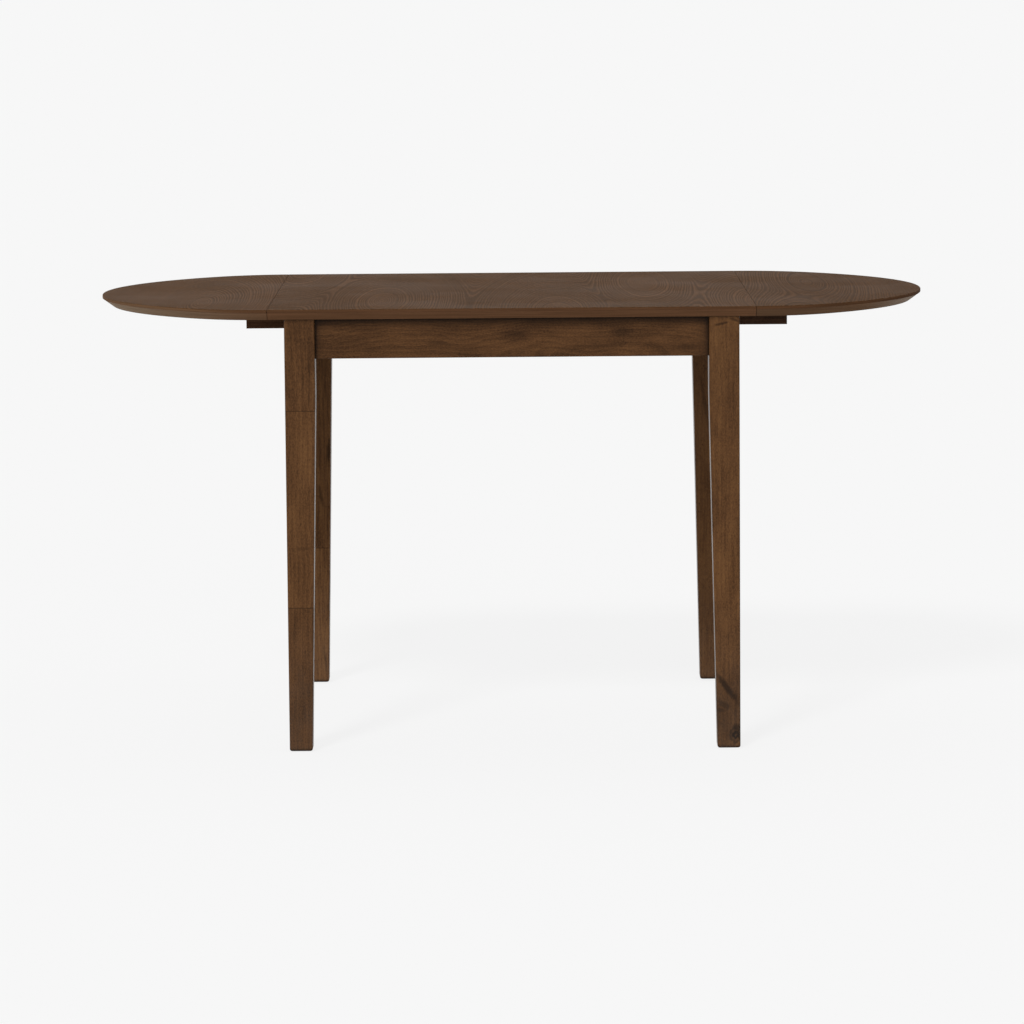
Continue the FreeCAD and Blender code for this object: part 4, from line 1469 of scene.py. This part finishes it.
@dataclass
class Fasteners:
    """The detailed screws, bolts and nuts that stand for the plain packed ones."""

    screw_radius: float = 0.0019
    screw_pitch: float = 0.0016
    screw_point: float = 0.004
    screw_sides: int = 12
    bolt_radius: float = 0.004
    bolt_pitch: float = 0.00125
    bolt_sides: int = 20
    root_share: float = 0.74
    rows_per_turn: int = 4
    pan_radius: float = 0.0038
    pan_height: float = 0.0024
    pan_outline: tuple[Span, ...] = (
        (0.0, 0.0), (0.42, 0.02), (0.68, 0.09), (0.86, 0.25),
        (0.96, 0.50), (1.0, 0.80), (0.99, 1.0), (0.0, 1.0),
    )
    flat_radius: float = 0.0037
    flat_height: float = 0.0018
    flat_rim: tuple[Span, ...] = ((0.0, 0.0), (0.97, 0.0), (1.0, 0.03), (0.99, 0.07))
    buried_share: float = 0.1
    recess: Triple = (0.0042, 0.0010, 0.0028)
    nut_radius: float = 0.0065
    nut_height: float = 0.0065
    nut_sides: int = 6
    nut_chamfer_share: float = 0.6
    collar_share: float = 2.0
    bore_share: float = 1.01
    bore_sides: int = 24
    head_steps: int = 28
    groups: tuple[FastenerGroup, ...] = (
        FastenerGroup("guide_rail_screws", FastenerKind.PAN_SCREW),
        FastenerGroup("keeper_bridge_screws", FastenerKind.PAN_SCREW),
        FastenerGroup("stop_block_screws", FastenerKind.PAN_SCREW),
        FastenerGroup("corner_bracket_screws", FastenerKind.PAN_SCREW),
        FastenerGroup("top_bracket_screws", FastenerKind.PAN_SCREW),
        FastenerGroup("hinge_frame_screws", FastenerKind.FLAT_SCREW, slot="hinge_brass"),
        FastenerGroup("left_hinge_leaf_screws", FastenerKind.FLAT_SCREW, "left_leaf_body", "hinge_brass"),
        FastenerGroup("right_hinge_leaf_screws", FastenerKind.FLAT_SCREW, "right_leaf_body", "hinge_brass"),
        FastenerGroup("leg_bolts", FastenerKind.BOLT),
        FastenerGroup("bolt_nuts", FastenerKind.NUT),
    )

    def screw_head(self, kind: FastenerKind) -> bpy.types.Object:
        """Turn a screw head and cut its cross recess.

        Args:
            kind: Which head.

        Returns:
            The head, whose outer face is at zero and whose shank goes up.
        """
        if kind is FastenerKind.PAN_SCREW:
            radius, height = self.pan_radius, self.pan_height
            outline = [(out * radius, up * height) for out, up in self.pan_outline]
        else:
            radius, height = self.flat_radius, self.flat_height
            outline = [(out * radius, up * height) for out, up in self.flat_rim]
            outline += [(self.screw_radius, height), (0.0, height)]
        blank = lathe(kind.value, outline, self.head_steps)
        long, wide, deep = self.recess
        return cut(blank, [bar("recess", (long, wide, deep)), bar("cross recess", (wide, long, deep))])

    def nut(self) -> bpy.types.Object:
        """Make a hexagon nut with turned corners.

        Returns:
            The nut, whose outer face is at zero, with a bore a little wider than its bolt.
        """
        height = self.nut_height
        corner = self.nut_radius / math.cos(math.pi / self.nut_sides)
        outline = [(0.0, 0.0), (corner, 0.0), (corner, height), (0.0, height)]
        hexagon = lathe("nut", outline, self.nut_sides)
        chamfer = (corner - self.nut_radius) * self.nut_chamfer_share
        # The slope is 45 degrees, and starts as far past the nut's end as it cuts into it.
        outside = corner * self.collar_share
        neck = corner - 2 * chamfer
        above = height + chamfer
        outline = [(neck, -chamfer), (outside, -chamfer), (outside, above), (neck, above)]
        outline += [(corner, height - chamfer), (corner, chamfer), (neck, -chamfer)]
        collar = lathe("collar", outline, self.head_steps)
        bore = self.bolt_radius * self.bore_share
        outline = [(0.0, -bore), (bore, -bore), (bore, height + bore), (0.0, height + bore)]
        return cut(hexagon, [collar, lathe("bore", outline, self.bore_sides)])

    def sizes(self, kind: FastenerKind, length: float) -> dict[str, object]:
        """Give the tree's values for one kind of fastener.

        Args:
            kind: Which kind.
            length: How long it is from end to end.

        Returns:
            Values by the names of the tree's inputs.
        """
        if kind is FastenerKind.NUT:
            return {"Threaded": False}
        heads = {FastenerKind.PAN_SCREW: self.pan_height, FastenerKind.FLAT_SCREW: self.flat_height}
        start = heads.get(kind, 0.0) * (1 - self.buried_share)
        if kind is FastenerKind.BOLT:
            radius, pitch, sides = self.bolt_radius, self.bolt_pitch, self.bolt_sides
            point = self.bolt_pitch
        else:
            radius, pitch, sides = self.screw_radius, self.screw_pitch, self.screw_sides
            point = self.screw_point
        return {
            "Threaded": True, "Shank Start": start, "Shank Length": length - start, "Crest Radius": radius,
            "Root Radius": radius * self.root_share, "Thread Pitch": pitch, "Point Length": point,
            "Rows": round((length - start) / pitch * self.rows_per_turn) + 1, "Sides": sides + 1,
        }

    def build(self) -> None:
        """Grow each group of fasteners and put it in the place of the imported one."""
        tree = FastenerTree()
        heads = {kind: self.screw_head(kind) for kind in (FastenerKind.PAN_SCREW, FastenerKind.FLAT_SCREW)}
        heads |= {FastenerKind.NUT: self.nut(), FastenerKind.BOLT: None}
        finishes = {"hinge_brass": BRASS, "zinc_steel": ZINC}
        for seed, group in enumerate(self.groups):
            seats = group.seats
            values = self.sizes(group.kind, seats[0].length)
            values |= {"Head": heads[group.kind], "Finish": finishes[group.slot].material(), "Seed": seed}
            piece = tree.grow(group.new_name, seats, values)
            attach(piece, group.body)
            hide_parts(group.node)
            log.info("%s: stands for %s on %s", piece.name, group.node, group.body)


@dataclass(frozen=True)
class Lamp:
    """A broad lamp far off: degrees from the front and above the floor, its strength and its spread."""

    name: str
    turn: float
    height: float
    strength: float
    spread: float
    distance: float = 6.0

    def hang(self) -> None:
        """Put the lamp in the scene, aimed at the table."""
        light = bpy.data.lights.new(self.name, "SUN")
        light.energy = self.strength
        light.angle = math.radians(self.spread)
        holder = bpy.data.objects.new(self.name, light)
        side, up = math.radians(self.turn), math.radians(self.height)
        away = Vector((math.sin(side) * math.cos(up), -math.cos(side) * math.cos(up), math.sin(up)))
        holder.location = away * self.distance
        holder.rotation_euler = (-away).to_track_quat("-Z", "Y").to_euler()
        bpy.context.scene.collection.objects.link(holder)


@dataclass
class Studio:
    """A pale floor, broad lamps on all sides and a camera at the picture's angle."""

    picture_pixels: float = 1024.0
    focal_pixels: float = 4769.4
    sensor_width: float = 36.0
    camera_reach: float = 500.0
    camera_place: Triple = (0.00107, -8.1669, 1.3571)
    yaw: float = -0.0004
    pitch: float = 0.12266
    roll: float = 0.0083
    backdrop: Colour = (247, 247, 247)
    ambient: float = 0.32
    floor_reach: float = 150.0
    floor_colour: Colour = (203, 203, 203)
    # How bright a white floor is where nothing shades it, which its glow leaves room for.
    floor_light: float = 0.877
    shadow_share: float = 0.12
    lamps: tuple[Lamp, ...] = (
        Lamp("key", turn=-22.0, height=39.0, strength=1.6, spread=12.0),
        Lamp("front", turn=8.0, height=15.0, strength=0.72, spread=40.0),
        Lamp("overhead", turn=-170.0, height=50.0, strength=0.46, spread=60.0),
        Lamp("left fill", turn=-90.0, height=12.0, strength=0.45, spread=50.0),
        Lamp("right fill", turn=90.0, height=12.0, strength=0.45, spread=50.0),
    )

    def build(self) -> None:
        """Make the stage."""
        bpy.context.scene.view_settings.view_transform = "Standard"
        self.build_world()
        self.build_floor()
        for lamp in self.lamps:
            lamp.hang()
        self.build_camera()

    @staticmethod
    def seen(graph: Graph) -> Socket:
        """Tell the rays that show a thing from those that only light by it.

        Args:
            graph: The graph of the floor or the backdrop.

        Returns:
            1 for a ray that shows it, and otherwise 0.
        """
        path = graph.add("ShaderNodeLightPath").outputs
        either = graph.math("MAXIMUM", path["Is Camera Ray"], path["Is Glossy Ray"])
        return graph.math("MAXIMUM", either, path["Is Transmission Ray"])

    @staticmethod
    def either(graph: Graph, share: Socket, first: Node, second: Node) -> Node:
        """Choose between two shaders."""
        return graph.add("ShaderNodeMixShader", {0: share, 1: first.outputs[0], 2: second.outputs[0]})

    def build_world(self) -> None:
        """Light the table evenly from all round, and show the backdrop's colour behind it."""
        world = bpy.data.worlds.new("studio")
        bpy.context.scene.world = world
        graph = Graph.fresh(world)
        light = graph.add("ShaderNodeBackground", {"Color": linear(WHITE), "Strength": self.ambient})
        shown = graph.add("ShaderNodeBackground", {"Color": linear(self.backdrop), "Strength": 1.0})
        both = self.either(graph, self.seen(graph), light, shown)
        graph.add("ShaderNodeOutputWorld", {"Surface": both.outputs[0]})

    def build_floor(self) -> None:
        """Lay a floor of the backdrop's colour that takes a faint shadow and is clear from below."""
        reach = self.floor_reach
        mesh = bpy.data.meshes.new("floor")
        corners = [(-reach, -reach, 0.0), (reach, -reach, 0.0), (reach, reach, 0.0), (-reach, reach, 0.0)]
        mesh.from_pydata(corners, [], [(0, 1, 2, 3)])
        floor = bpy.data.objects.new("floor", mesh)
        bpy.context.scene.collection.objects.link(floor)
        material = bpy.data.materials.new("studio floor")
        graph = Graph.fresh(material)
        pale = Vector(linear(self.backdrop)[:3])
        steady = pale * (1 - self.shadow_share * self.floor_light)
        glow = graph.add("ShaderNodeEmission", {"Color": (*steady, 1.0)})
        shade = graph.add("ShaderNodeBsdfDiffuse", {"Color": (*pale * self.shadow_share, 1.0)})
        shown = graph.add("ShaderNodeAddShader", {0: glow.outputs[0], 1: shade.outputs[0]})
        bounce = graph.add("ShaderNodeBsdfDiffuse", {"Color": linear(self.floor_colour)})
        above = self.either(graph, self.seen(graph), bounce, shown)
        below = graph.add("ShaderNodeNewGeometry").outputs["Backfacing"]
        whole = self.either(graph, below, above, graph.add("ShaderNodeBsdfTransparent"))
        graph.add("ShaderNodeOutputMaterial", {"Surface": whole.outputs[0]})
        mesh.materials.append(material)

    def build_camera(self) -> None:
        """Place the camera where the picture was taken from."""
        level = math.cos(self.pitch)
        ahead = Vector((math.sin(self.yaw) * level, math.cos(self.yaw) * level, -math.sin(self.pitch)))
        right = Vector((math.cos(self.yaw), -math.sin(self.yaw), 0.0))
        down = ahead.cross(right)
        across = right * math.cos(self.roll) + down * math.sin(self.roll)
        up = right * math.sin(self.roll) - down * math.cos(self.roll)
        lens = bpy.data.cameras.new("camera")
        lens.sensor_width = self.sensor_width
        lens.lens = self.focal_pixels / self.picture_pixels * self.sensor_width
        lens.clip_end = self.camera_reach
        camera = bpy.data.objects.new("camera", lens)
        turn = Matrix((across, up, -ahead)).transposed().to_4x4()
        camera.matrix_world = Matrix.Translation(self.camera_place) @ turn
        bpy.context.scene.collection.objects.link(camera)
        bpy.context.scene.camera = camera


def main() -> None:
    """Build the shared effects, dress each sub-assembly, fit the fasteners and set the stage."""
    logging.basicConfig(level=logging.INFO, format="%(name)s: %(message)s")
    effects = (
        GrainEffect(), CrownEffect(), BlemishEffect(), JointEffect(), WearEffect(), ScuffEffect(),
    )
    for effect in effects:
        effect.build()
    for assembly in (TopPanels(), LegSet(), ApronFrame(), LoperChannel(), Hardware()):
        assembly.dress()
    Fasteners().build()
    Studio().build()


if __name__ == "__main__":
    main()
